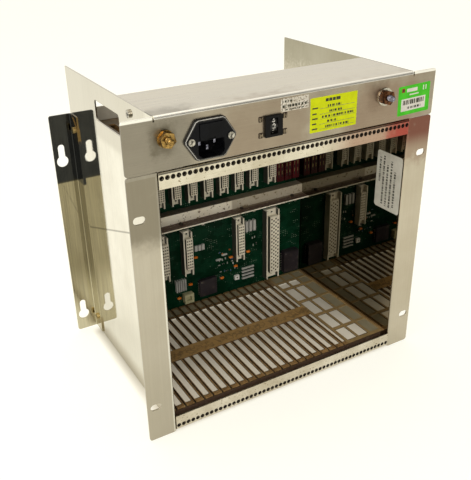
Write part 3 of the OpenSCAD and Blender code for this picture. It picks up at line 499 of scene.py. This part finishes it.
def mouldedPlastic(name, spec):
    # injection-moulded plastic: even colour, a fine spark-eroded grain, and dust that settles in patches
    material, tree, shader = newMaterial(name)
    cloud = patches(tree, spec.get("cloudMm", 14), 0.32, 0.68, detail=4.0)
    dust = patches(tree, 5, 0.54, 0.76, 0.0, spec.get("dust", 0.12), detail=5.0)
    colour = clouded(tree, cloud, spec["dark"], spec["light"], spec.get("zones", ()))
    colour = layered(tree, colour, [(dust, spec.get("dustColour", "#b7a98c"))])
    gloss = addNode(tree, "MapRange", {"Value": cloud, 3: spec["rough"] - 0.06, 4: spec["rough"] + 0.08})
    grain = patches(tree, 0.6, 0.3, 0.7, detail=2.0)  # the real grain is about 0.1 mm
    edge = addNode(tree, "Bevel", {"Radius": 0.3 * mm}, samples=4)
    normal = addNode(tree, "Bump", {"Height": grain, "Distance": 0.02 * mm, "Normal": edge})
    addNode(tree, shader, {"Base Color": colour, "Roughness": gloss, "IOR": spec.get("ior", 1.5), "Normal": normal})
    return material


platings = {  # stained colour, bright colour, roughness
    "brass": ("#463319", "#b08f52", 0.22),
    "copper_brown": ("#2f1c14", "#7d5539", 0.24),
    "stud_nickel": ("#3c3c48", "#a6a6b4", 0.16),
    "nickel": ("#a39d8c", "#dcd8cc", 0.18),
    "tabNickel": ("#5d5243", "#a0937c", 0.3),
    "screw_steel": ("#77736a", "#c6c2b6", 0.25),
    "screw_brass": ("#8e7a4a", "#c9b784", 0.3),
    "dullSteel": ("#3c3833", "#6b655b", 0.42),
    "gilt": ("#8a7448", "#c7b27a", 0.25),
    "tin": ("#8f9088", "#cfd0c6", 0.3),
}


def platedMetal(name, spec):
    # turned and plated hardware: bright, with stained patches and fine turning marks
    material, tree, shader = newMaterial(name)
    dark, light, rough = spec
    cloud = patches(tree, 3, 0.35, 0.65, detail=4.0)
    marks = patches(tree, 0.5, 0.0, 1.0)  # the real marks are about 0.1 mm
    edge = addNode(tree, "Bevel", {"Radius": 0.25 * mm}, samples=4)
    normal = addNode(tree, "Bump", {"Height": marks, "Distance": 0.02 * mm, "Normal": edge})
    gloss = addNode(tree, "MapRange", {"Value": cloud, 3: rough + 0.12, 4: rough})
    addNode(tree, shader, {"Base Color": clouded(tree, cloud, dark, light), "Metallic": 1.0, "Roughness": gloss,
                           "Normal": normal})
    return material


boardLook = {
    "dark": "#021c0f", "light": "#05301c",
    "track": "#1c5038",
    "trackShare": 0.4,
    "trackMm": 1.27,  # half the 2.54 mm pitch of the contacts
    "trackLongMm": 7.62,
    "trackGapMm": 0.22,
    "pad": "#9fae9a",
    "padShare": 0.6,
    "padMm": 2.54,
}


def solderedBoard(name, spec):
    # glass-fibre laminate under green resist: copper tracks show as paler ribs, solder joints as small bright dots
    material, tree, shader = newMaterial(name)
    flat = addNode(tree, "Mapping", {"Vector": surfacePoint(tree), "Rotation": (radians(90), 0, 0)})
    bricks = addNode(tree, "TexBrick", {"Vector": flat, "Scale": 1.0, "Mortar Size": spec["trackGapMm"], "Bias": 0.0,
                                        "Brick Width": spec["trackLongMm"], "Row Height": spec["trackMm"]}, out="Fac")
    tracks = addNode(tree, "Math", {0: bricks, 1: patches(tree, (22, 22, 14), 0.48, 0.54)}, operation="MULTIPLY")
    cells = addNode(tree, "VectorMath", {0: flat, 1: (1 / spec["padMm"],) * 3}, operation="MULTIPLY")
    pads = addNode(tree, "TexVoronoi", {"Vector": cells, "Scale": 1.0, "Randomness": 0.12}, out="Distance",
                   voronoi_dimensions="2D")
    pads = addNode(tree, "MapRange", {"Value": pads, 1: 0.22, 2: 0.16, 3: 0.0, 4: 1.0})
    pads = addNode(tree, "Math", {0: pads, 1: patches(tree, (13, 13, 7), 0.60, 0.64)}, operation="MULTIPLY")
    copper = [(addNode(tree, "Math", {0: share, 1: spec[key + "Share"]}, operation="MULTIPLY"), spec[key])
              for share, key in ((tracks, "track"), (pads, "pad"))]
    raised = addNode(tree, "Math", {0: tracks, 1: pads}, operation="MAXIMUM")
    addNode(tree, shader, {
        "Base Color": layered(tree, clouded(tree, patches(tree, 30, 0.3, 0.7), spec["dark"], spec["light"]), copper),
        "Roughness": patches(tree, 12, 0.3, 0.7, 0.28, 0.42), "Specular IOR Level": 0.06,
        "Normal": addNode(tree, "Bump", {"Height": raised, "Distance": 0.04 * mm})})
    return material


def clearGlass(name, dark, light):
    # drawn glass tube, faintly streaked
    material, tree, shader = newMaterial(name)
    addNode(tree, shader, {"Base Color": clouded(tree, patches(tree, 4, 0.3, 0.7), dark, light),
                           "Transmission Weight": 1.0, "Roughness": 0.05})
    return material


foils = {  # two colours of the film, the scuffs' colour, where they start, their size in millimetres
    "wornWhite": ("#d3ccbb", "#ece8dc", "#8b7f6c", 0.52, 1.6),
    "yellow": ("#d0dc00", "#e2ee06", "#8d9300", 0.68, 2.2),
    "green": ("#41bf22", "#56da30", "#2f7d20", 0.68, 2.2),
    "paleGrey": ("#cbc9bd", "#dedcd1", "#b0ada0", 0.66, 2.2),
    "white": ("#e0ddd2", "#f2f0e8", "#b4b0a2", 0.7, 2.2),
    "inkDark": ("#2a2b20", "#3c3c2c", "#75744f", 0.6, 2.2),
    "inkGrey": ("#5d5b50", "#77746a", "#9c998c", 0.58, 2.2),
    "inkRed": ("#7d2016", "#a0301f", "#5c120c", 0.66, 2.2),
    "digitWhite": ("#d8d6cc", "#efeee8", "#8c8a80", 0.7, 2.2),
    # painted shade of the slots round the switch's tabs
    "darkGap": ("#241a14", "#3b2a20", "#120d0a", 0.7, 2.2),
    # painted shade: the dark inside holes, slots and recesses
    "socketDark": ("#15110d", "#241d16", "#060504", 0.66, 2.2),
}


def printedFoil(name, spec):
    # self-adhesive label: printed film with scuffed, lifting patches and a soft gloss
    material, tree, shader = newMaterial(name)
    dark, light, scuff, start, sizeMm = spec
    scuffs = patches(tree, sizeMm, start, start + 0.05, detail=4.0)
    fibre = patches(tree, 0.8, 0.3, 0.7)  # coarser than the real 0.05 mm
    addNode(tree, shader, {
        "Base Color": layered(tree, clouded(tree, patches(tree, 9, 0.3, 0.7), dark, light), [(scuffs, scuff)]),
        "Roughness": patches(tree, 3, 0.3, 0.7, 0.45, 0.6), "Specular IOR Level": 0.3,
        "Normal": addNode(tree, "Bump", {"Height": fibre, "Distance": 0.015 * mm})})
    return material


finishes = {}
for maker, prefix, family in ((mouldedPlastic, "moulded_", plastics), (platedMetal, "plated_", platings),
                              (printedFoil, "foil_", foils)):
    finishes.update({name: maker(prefix + name, spec) for name, spec in family.items()})
finishes.update({name: stainlessSheet(name + "Stainless", spec) for name, spec in sheetFinishes.items()})
finishes["board_green"] = solderedBoard("solderedBoard", boardLook)
finishes["fuse_glass"] = clearGlass("fuseGlass", "#dfe6e6", "#f2f5f4")
finishOf = {"polished_steel": "leftPlate", "satin_steel": "satin", "rail_steel": "rail", "bracket_steel": "bracket",
            "side_plate_right": "rightPlate", "front_rail_bottom": "lowRail", "middle_rail": "midRail",
            "rear_rail_top": "rearRail", "inlet_pins": "stud_nickel", "switch_tabs": "tabNickel",
            "threaded_strip_top": "dullSteel", "threaded_strip_bottom": "dullSteel",
            "middle_rail_screws": "dullSteel"}  # slots and solids whose finish has another name

slotOf = {part["node"]: part["material_slot"] for part in frame["record"]["subparts"]}
for name, cadObject in nodes.items():
    slot = slotOf[name]
    cadObject.data.materials.clear()
    cadObject.data.materials.append(finishes[finishOf.get(name, finishOf.get(slot, slot))])
print("finishes ready")


# contacts of the board connectors

contactSpec = {
    "bladeWide": 0.22,
    "bladeShare": 0.7,  # of the hole's height
    "holePlate": (0.03, 0.02),  # thickness, and how far the rim leans in
    "bladePlate": (0.07, 0.05),
    "endGap": 8.0,  # the flange at each end of a connector, which has no contacts
    "upper": {"columns": 3, "across": 2.54, "pitch": 2.54, "holeWide": 1.5},
    "half": {"columns": 3, "across": 2.54, "pitch": 3.81, "holeWide": 1.6},
    "wide": {"columns": 4, "across": 3.0, "pitch": 5.08, "holeWide": 1.9, "stagger": 2.54},
    "upperPitch": 20.32,
    "upperCount": 10,
    "firstFromWall": 14.56,
    "extraFromWall": 41.4,
    "halfAt": (-91.5, -61.0, -30.5, 39.0),
    "wideFromWall": 45.6,
}


def makeContacts(name, node, centres, spec):
    low, high, middle = boxMm(node)
    grid = spec[name]
    pitch, columns = grid["pitch"], grid["columns"]
    rows = int((high.z - low.z - 2 * spec["endGap"]) / pitch)
    firstZ = middle.z - (rows - 1) * pitch / 2
    holes, blades = bmesh.new(), bmesh.new()
    h, b = grid["holeWide"] / 2, spec["bladeWide"] / 2
    for x in centres:
        for column in range(columns):
            shift = grid.get("stagger", 0.0) if column % 2 else 0.0
            for row in range(rows - (1 if shift else 0)):
                where = onFront(x + (column - (columns - 1) / 2) * grid["across"], firstZ + row * pitch + shift, low.y)
                addPrism(holes, rectangle(-h, -h, h, h), where, *spec["holePlate"])
                tall = h * spec["bladeShare"]
                addPrism(blades, rectangle(-b, -tall, b, tall), where, *spec["bladePlate"])
    # painted shade: thin dark plates stand for the shaded contact holes
    newPiece(name + "ContactHoles", holes, "socketDark")
    newPiece(name + "ContactBlades", blades, "gilt")


upperCentres = [-wallX + contactSpec["firstFromWall"] + i * contactSpec["upperPitch"]
                for i in range(contactSpec["upperCount"])] + [wallX - contactSpec["extraFromWall"]]
for name, node, centres in (("upper", "upper_connectors", upperCentres),
                            ("half", "half_connectors", contactSpec["halfAt"]),
                            ("wide", "wide_connector", [wallX - contactSpec["wideFromWall"]])):
    makeContacts(name, node, centres, contactSpec)

powerSlots = {
    "centres": (101.2, 112.6, 124.0), "slotAt": (-2.3, 2.3), "halfWide": 0.85, "margin": 5.0, "corner": 0.6,
    "blades": 9, "firstBlade": 6, "bladePitch": 9, "bladeHalf": (0.3, 2.4), "bladePlate": (0.12, 0.08),
    "slotPlate": 0.03,
}


def makePowerSlots(spec):
    low, high, _ = boxMm("power_connectors")
    dark, metal = bmesh.new(), bmesh.new()
    w, (u, v) = spec["halfWide"], spec["bladeHalf"]
    bottom, top = low.z + spec["margin"], high.z - spec["margin"]
    for centre in spec["centres"]:
        for shift in spec["slotAt"]:
            where = onFront(centre + shift, 0, low.y)
            addPrism(dark, roundedOutline(-w, bottom, w, top, spec["corner"], 3), where, spec["slotPlate"])
            for k in range(spec["blades"]):
                z = bottom + spec["firstBlade"] + k * spec["bladePitch"]
                addPrism(metal, rectangle(-u, z - v, u, z + v), where, *spec["bladePlate"])
    # painted shade: thin dark plates stand for the shaded power slots
    newPiece("powerContactSlots", dark, "socketDark")
    newPiece("powerContactBlades", metal, "gilt")


makePowerSlots(powerSlots)
print("contacts ready")


# parts on the lower board

capacitorSpec = {
    "places": ((-28.5, 46), (-44.5, 31.5), (14.5, 42), (34, 53), (27.5, 67), (-20, 80), (52, 68), (-105, 58),
               (-75, 40)),
    "lobe": 1.45,
    "waist": 1.25,
    "squash": 0.85,
    "lean": 0.05,  # for each millimetre of height
    "profile": ((0.9, 0.35), (1.5, 0.8), (2.4, 1.0), (3.6, 1.0), (4.6, 0.82), (5.2, 0.5), (5.45, 0.15)),
    "legAt": (-1.27, 1.27),
    "leg": ((0.62, 0.0), (0.55, 0.25), (0.3, 0.5), (0.3, 1.6)),
}


def makeCapacitors(spec):
    # dipped tantalum drops: two lobes over the leads, with a soft bead of resin at the foot
    bodies, legs = bmesh.new(), bmesh.new()
    for index, (x, z) in enumerate(spec["places"]):
        lean = spec["lean"] * sin(index * 2.1)
        rings = []
        for height, share in spec["profile"]:
            radii = [share * (spec["waist"] + spec["lobe"] * abs(cos(a)) ** 1.5) for a in turns(20)]
            rings.append([bodies.verts.new((x + r * cos(a) + lean * height, boardY - height,
                                            z + spec["squash"] * r * sin(a))) for r, a in zip(radii, turns(20))])
        joinRings(bodies, rings)
        for side in spec["legAt"]:
            addTurned(legs, spec["leg"], onFront(x + side, z, boardY), 8)
    piece = newPiece("dippedCapacitors", bodies, "capacitor_orange", smooth=True)
    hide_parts("board_capacitors")
    newPiece("capacitorLegs", legs, "tin", smooth=True)


makeCapacitors(capacitorSpec)

chipSpec = {
    "chips": ((-17, 25, 23, 22, 5), (102, 25, 22, 29, 9), (-117, 28, 20, 24, 5)),  # x, z, width, height, thickness
    "pitch": 2.54, "pinWide": 0.9, "pinThick": 0.35, "pinReach": 1.0, "exitShare": 0.55, "exitMost": 2.6,
    "endGap": 2.0, "markIn": 2.6, "markRadius": 0.9, "jumperRadius": 1.1, "markPlate": 0.03, "markSides": 16,
}


def makeChipPins(spec):
    pins, marks = bmesh.new(), bmesh.new()
    disc = lambda radius: ((radius, 0.0), (radius, spec["markPlate"]))
    for x, z, wide, tall, high in spec["chips"]:
        count = int((tall - spec["endGap"]) / spec["pitch"])
        start = z + (tall - (count - 1) * spec["pitch"] - spec["pinWide"]) / 2
        drop = min(high * spec["exitShare"], spec["exitMost"])
        near, far, thick = spec["pinReach"], spec["pinReach"] + spec["pinThick"], spec["pinThick"]
        for side, edge in ((-1, x), (1, x + wide)):
            outline = [(0, drop), (0, drop + thick), (side * near, drop + thick), (side * far, drop), (side * far, 0),
                       (side * near, 0), (side * near, drop)]
            for k in range(count):
                place = lambda u, v, w, edge=edge, z=start + k * spec["pitch"]: (edge + u, boardY - v, z + w)
                addPrism(pins, outline, place, spec["pinWide"])
        addTurned(marks, disc(spec["markRadius"]),
                  onFront(x + spec["markIn"], z + tall - spec["markIn"], boardY - high), spec["markSides"])
    newPiece("chipPins", pins, "tin")
    newPiece("chipMarks", marks, "inkGrey")
    low, _, middle = boxMm("jumper_block")
    hole = bmesh.new()
    addTurned(hole, disc(spec["jumperRadius"]), onFront(middle.x, middle.z, low.y), spec["markSides"])
    # painted shade: a thin dark disc stands for the shaded jumper hole
    newPiece("jumperHole", hole, "socketDark")


makeChipPins(chipSpec)

smallParts = {
    "seed": 11,
    "fields": ((12, 46, 40, 80, 34), (-40, 58, -18, 92, 8), (46, 72, 66, 92, 8),
               (-100, 84, -72, 108, 8)),  # two corners and how many to try
    "size": (1.2, 2.2),
    "height": 0.9,
    "apart": 3.0,
    "cap": (0.3, 0.03, 0.04),  # half length, overlap at the sides, height above the body
    "finishes": ("array_grey", "array_grey", "jumper_white", "part_blue", "capacitor_orange", "chip_dark"),
}


def makeSmallParts(spec):
    # chip resistors with bright end caps, thinly strewn round the larger parts
    random.seed(spec["seed"])
    bodies = {name: bmesh.new() for name in spec["finishes"]}
    caps, taken = bmesh.new(), list(capacitorSpec["places"])
    half, over, above = spec["cap"]
    for x0, z0, x1, z1, count in spec["fields"]:
        for _ in range(count):
            x, z = random.uniform(x0, x1), random.uniform(z0, z1)
            if any(abs(x - a) < spec["apart"] and abs(z - b) < spec["apart"] for a, b in taken):
                continue
            taken.append((x, z))
            short, long = spec["size"]
            w, h = (short / 2, long / 2) if random.random() < 0.5 else (long / 2, short / 2)
            where = onFront(x, z, boardY)
            addPrism(bodies[random.choice(spec["finishes"])], rectangle(-w, -h, w, h), where, spec["height"], 0.1)
            for side in (-1, 1):
                cap = (side * w - half, -h - over, side * w + half, h + over)
                if w < h:
                    cap = (-w - over, side * h - half, w + over, side * h + half)
                addPrism(caps, rectangle(*cap), where, spec["height"] + above, 0.08)
    for name, shape in bodies.items():
        newPiece("smallParts" + name.title().replace("_", ""), shape, name)
    newPiece("chipResistorCaps", caps, "tin")


makeSmallParts(smallParts)
print("board parts ready")


# earth terminals with rolled threads

studSpec = {"threadPitch": 1.0, "threadDeep": 0.42, "step": 0.2, "sides": 28, "endRadius": 2.8, "bodyRadius": 3.0,
            "endLength": 5.4, "tip": 0.8, "dimple": ((0.5, 0.35), (0.9, 0.3), (1.15, 0.0)),
            "faceIn": 0.1, "chamferFrom": 0.05, "footIn": 0.5}


def makeStud(name, node, finish, spec):
    low, high, middle = boxMm(node)
    shape = bmesh.new()
    rings = []

    def addRing(y, radius, deep):
        ring = []
        for k, a in enumerate(turns(spec["sides"])):
            turn = (y / spec["threadPitch"] - k / spec["sides"]) % 1.0
            r = radius - deep * abs(2 * turn - 1)
            ring.append(shape.verts.new((middle.x + r * cos(a), y, middle.z + r * sin(a))))
        rings.append(ring)

    tipRadius = spec["endRadius"] - spec["tip"]
    for radius, depth in spec["dimple"] + ((tipRadius - spec["faceIn"], 0.0),):
        addRing(low.y + depth, radius, 0.0)
    y = low.y + spec["step"]
    while y < high.y:
        radius = spec["endRadius"] if y < low.y + spec["endLength"] else spec["bodyRadius"]
        addRing(y, min(radius, tipRadius + (y - low.y) + spec["chamferFrom"]), spec["threadDeep"])
        y += spec["step"]
    addRing(high.y, spec["bodyRadius"] - spec["footIn"], 0.0)
    joinRings(shape, rings)
    piece = newPiece(name, shape, finish)
    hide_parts(node)


makeStud("leftStudThread", "earth_stud_left", "brass", studSpec)
makeStud("rightStudThread", "earth_stud_right", "stud_nickel", studSpec)


# screw heads: cross recesses and slots

recessSpec = {
    "arm": 3.4, "wide": 0.8, "deep": 0.04,
    "bracketHead": 3.5,    # from a head's rim to its middle
    "railShares": (-0.893, -0.288, 0.318, 0.863), "railScale": 0.6, "railDeep": 0.03,
    "inletHead": 2.9, "slotHalf": (2.1, 0.3), "slotTurn": 48,
}


def makeRecesses(spec):
    shape = bmesh.new()
    a, w = spec["arm"] / 2, spec["wide"] / 2
    cross = [(-w, -a), (w, -a), (w, -w), (a, -w), (a, w), (w, w), (w, a), (-w, a), (-w, w), (-a, w), (-a, -w), (-w, -w)]
    for node in ("bracket_screws", "housing_screws"):
        low, high, middle = boxMm(node)
        head = spec["bracketHead"]
        for z in (low.z + head, high.z - head) if node == "bracket_screws" else (middle.z,):
            for side, x in ((-1, low.x), (1, high.x)):
                addPrism(shape, cross, lambda u, v, w: (x + side * w, middle.y + u, z + v), spec["deep"])
    _, high, middle = boxMm("middle_rail_screws")
    for share in spec["railShares"]:
        addPrism(shape, [(u * spec["railScale"], v * spec["railScale"]) for u, v in cross],
                 lambda u, v, w: (share * wallX + u, middle.y + v, high.z + w), spec["railDeep"])
    low, high, middle = boxMm("inlet_screws")
    onScrew = turned(0, 0, spec["slotTurn"])
    slot = [onScrew(u, v, 0)[::2] for u, v in rectangle(-spec["slotHalf"][0], -spec["slotHalf"][1], *spec["slotHalf"])]
    for x in (low.x + spec["inletHead"], high.x - spec["inletHead"]):
        addPrism(shape, slot, onFront(x, middle.z, low.y), spec["deep"])
    # painted shade: thin dark plates stand for the shaded cross recesses and slots
    newPiece("screwRecesses", shape, "socketDark")


makeRecesses(recessSpec)

holeRimSpec = {"count": 52, "pitch": 5.08, "rows": (5.8, 259.4), "steps": 20,
               "section": ((1.73, -0.02), (2.15, -0.02), (2.15, 0.0))}  # radius and depth


def makeHoleRims(spec):
    # painted shade: dark rings on the punched-in rims of the rails' holes
    shape = bmesh.new()
    for z in spec["rows"]:
        for index in range(spec["count"]):
            x = (index - (spec["count"] - 1) / 2) * spec["pitch"]
            joinRings(shape, [[shape.verts.new((x + r * cos(a), y, z + r * sin(a)))
                               for a in turns(spec["steps"])] for r, y in spec["section"]], capped=False)
    newPiece("railHoleRims", shape, "socketDark")


makeHoleRims(holeRimSpec)
print("hardware ready")


# inlet bevel, switch digits and tab seats

bevelSpec = {
    "wide": 47.0, "tall": 34.4, "flat": 0.27, "nip": 1.2,
    "bevel": ((0.0, 1.0), (0.45, 0.62), (1.0, 0.12), (1.4, -0.02), (1.9, -0.02)),  # inset and depth
    "worn": ((0.62, 0.43), (0.7, 0.34), (1.0, 0.06), (1.1, 0.06)),                 # a painted highlight along the edge
}


def flangeOutline(inset, spec):
    w, h = spec["wide"] / 2 - inset, spec["tall"] / 2 - inset
    flat, nip = spec["wide"] * spec["flat"] - inset * 0.6, spec["nip"]
    right = [(flat - nip, -h), (flat + nip, -h + nip), (w, -nip), (w, nip), (flat + nip, h - nip), (flat - nip, h)]
    left = [(-u, -v) for u, v in right]
    return left[3:] + right + left[:3]


def makeInletBevel(spec):
    # the glossy moulded bevel round the inlet's flange, with a painted highlight along its edge
    low, _, middle = boxMm("mains_inlet")
    for name, profile, finish in (("inletBevel", "bevel", "inletGloss"), ("inletWornEdge", "worn", "array_grey")):
        shape = bmesh.new()
        joinRings(shape, [[shape.verts.new((middle.x + u, low.y + depth, middle.z + v))
                           for u, v in flangeOutline(inset, spec)] for inset, depth in spec[profile]], capped=False)
        newPiece(name, shape, finish)


makeInletBevel(bevelSpec)

digitSpec = {
    "front": 2, "wide": 2.6, "tall": 3.7, "stroke": 0.66, "step": 36.0, "overlap": 0.6, "plate": 0.05,
    "paths": (  # from 0 to 9, in hundredths of the width and the height
        ((50, 100), (15, 88), (0, 50), (15, 12), (50, 0), (85, 12), (100, 50), (85, 88), (50, 100)),
        ((20, 78), (55, 100), (55, 0)),
        ((5, 76), (20, 95), (50, 100), (82, 93), (95, 72), (80, 48), (5, 0), (100, 0)),
        ((5, 90), (40, 100), (80, 94), (93, 76), (75, 57), (40, 52), (78, 46), (100, 26),
         (80, 5), (40, 0), (2, 12)),
        ((72, 0), (72, 100), (0, 30), (100, 30)),
        ((90, 100), (15, 100), (10, 55), (50, 62), (90, 50), (100, 28), (80, 5), (40, 0), (2, 10)),
        ((85, 93), (50, 100), (15, 80), (0, 40), (15, 8), (50, 0), (88, 10), (100, 30), (85, 52),
         (50, 60), (8, 42)),
        ((0, 100), (100, 100), (40, 0)),
        ((50, 54), (15, 66), (12, 88), (50, 100), (88, 88), (85, 66), (50, 54), (8, 38),
         (5, 12), (50, 0), (95, 12), (92, 38), (50, 54)),
        ((15, 7), (50, 0), (85, 20), (100, 60), (85, 92), (50, 100), (12, 90), (0, 70), (15, 48),
         (50, 40), (92, 58)),
    ),
}


def makeDigits(spec):
    # white moulded figures 0 to 9 round the wheel
    low, high, middle = boxMm("thumbwheel")
    radius = (high.y - low.y) / 2
    shape = bmesh.new()
    half = spec["stroke"] / 2
    for digit, path in enumerate(spec["paths"]):
        turn = radians((digit - spec["front"]) * spec["step"])

        def place(u, v, w):
            a = turn + v / radius
            return (middle.x + u, middle.y - (radius + w) * cos(a), middle.z + (radius + w) * sin(a))

        points = [((u / 100 - 0.5) * spec["wide"], (v / 100 - 0.5) * spec["tall"]) for u, v in path]
        for (ua, va), (ub, vb) in zip(points, points[1:]):
            length = hypot(ub - ua, vb - va)
            du, dv = (ub - ua) / length * half, (vb - va) / length * half
            eu, ev = du * spec["overlap"], dv * spec["overlap"]
            ua, va, ub, vb = ua - eu, va - ev, ub + eu, vb + ev
            stroke = [(ua + dv, va - du), (ub + dv, vb - du), (ub - dv, vb + du), (ua - dv, va + du)]
            addPrism(shape, stroke, place, spec["plate"])
    newPiece("wheelDigits", shape, "digitWhite", body="wheel")


makeDigits(digitSpec)

seatSpec = {"grow": 0.7, "tab": (3.4, 3.6), "corner": 0.9, "plate": 0.05}


def makeTabSeats(spec):
    # painted shade: dark plates on the panel for the shaded slots round the switch's bent tabs
    low, high, _ = boxMm("switch_tabs")
    shape = bmesh.new()
    g, (wide, tall) = spec["grow"], spec["tab"]
    for x in (low.x, high.x - wide):
        for z in (low.z, high.z - tall):
            addPrism(shape, roundedOutline(x - g, z - g, x + wide + g, z + tall + g, spec["corner"], 3), onFront(0, 0),
                     spec["plate"])
    newPiece("tabSeats", shape, "darkGap")


makeTabSeats(seatSpec)
print("inlet and switch ready")


# labels: plain coloured foils with generic bars in place of any print

labelFilm = {
    "plate": (0.10, 0.05),  # thickness, and how far the rim leans in
    "inkPlate": 0.012,
    "barWide": (0.7, 2.6),
    "barGap": (0.3, 1.2),
}


def makeLabel(name, spec):
    # a foil with rounded corners, then bars that stand for its print
    shape = bmesh.new()
    addPrism(shape, roundedOutline(*spec["field"], spec["corner"]), spec["place"], *labelFilm["plate"])
    newPiece(name, shape, spec["finish"])
    for count, (finish, height, bars) in enumerate(spec["bars"]):
        ink = bmesh.new()
        for bar in bars:
            addPrism(ink, rectangle(*bar), lambda u, v, w: spec["place"](u, v, w + height), labelFilm["inkPlate"])
        newPiece(name + "Print" + str(count), ink, finish)


def barRow(start, end, z, tall, seed, gapShare=0.35):
    # a broken line of short bars between start and end
    random.seed(seed)
    bars, u = [], start
    while u < end:
        wide = random.uniform(*labelFilm["barWide"])
        bars.append((u, z, min(u + wide, end), z + tall))
        u += wide + random.uniform(*labelFilm["barGap"]) * (1 + gapShare)
    return bars


def onRightWall(u, v, w):
    # the inner face of the right side plate, seen from inside the cage
    return (wallX - w, u, v)


labels = {
    "yellowLabel": {
        "field": (14.2, 271.0, 65.8, 302.3), "corner": 0.8, "place": onFront(0, 0), "finish": "yellow",
        "slot": "satin_steel",
        "bars": (
            ("inkDark", 0.10, [(30.5, 297.4, 33.6, 300.2), (34.2, 297.4, 37.6, 300.2), (38.2, 297.4, 41.4, 300.2),
                               (42.0, 297.4, 46.6, 300.2)]),
            ("inkDark", 0.10, [(16.4, z, 22.4 - (i % 2) * 1.4, z + 1.3)
                               for i, z in enumerate((292.2, 287.2, 282.8, 278.2, 273.6))]),
            ("inkGrey", 0.10, [(24.6, z - 0.3, 63.2, z + 0.02) for z in (292.0, 287.0, 282.6, 278.0, 273.4)]),
            ("inkDark", 0.11, sum((barRow(start, end, z + 0.4, 2.0, seed) for start, end, z, seed in (
                (33, 48, 292.0, 3), (35, 49, 287.2, 4), (27, 62, 282.8, 5), (33, 44, 278.2, 6),
                (31, 57, 273.6, 7))), [])),
        )},
    "wornLabel": {
        "field": (-16.5, 295.2, 12.2, 306.6), "corner": 0.6, "place": onFront(0, 0), "finish": "wornWhite",
        "slot": "satin_steel",
        "bars": (("inkDark", 0.10, barRow(-15, -4, 303.0, 1.8, 21) + barRow(-15, 11, 298.6, 2.2, 22)
                  + barRow(-12, 8, 296.2, 1.0, 23)),)},
    "greenLabel": {
        "field": (-19.7, -14.0, 19.7, 14.0), "corner": 1.0, "place": turned(135.2, 284.2, 1.5), "finish": "green",
        "slot": "satin_steel",
        "bars": (
            ("white", 0.10, [(-15.6, -10.2, 14.6, 1.6)]),
            ("inkDark", 0.115, barRow(-13.6, 12.6, -4.2, 4.4, 31, 0.0) + barRow(-8, 9, -8.6, 2.2, 32)),
            ("white", 0.10, [(-6.0, 4.4, 5.4, 5.6), (-9.5, 7.6, 3.6, 11.0), (10.6, 7.2, 11.8, 11.6),
                             (13.8, 7.2, 15.0, 11.6)]),
            ("inkRed", 0.10, [(-15.6, 8.0, -12.0, 11.8)]),
            ("inkDark", 0.112, [(-14.6, 8.9, -13.0, 10.9)]),
        )},
    "wallLabel": {
        "field": (2.9, 161.2, 40.0, 223.4), "corner": 3.0, "place": onRightWall, "finish": "paleGrey",
        "slot": "polished_steel",
        "bars": (("inkDark", 0.10, [(y, start, y + 2.5, end) for y, low, high, seed in (
            (11.0, 167, 206, 41), (16.6, 165, 216, 42), (22.2, 165, 212, 43), (27.8, 166, 219, 44),
            (33.4, 190, 217, 45))
            for start, _, end, _ in barRow(low, high, 0, 0, seed)]),)},
}
for name, spec in labels.items():
    makeLabel(name, spec)
print("labels ready")
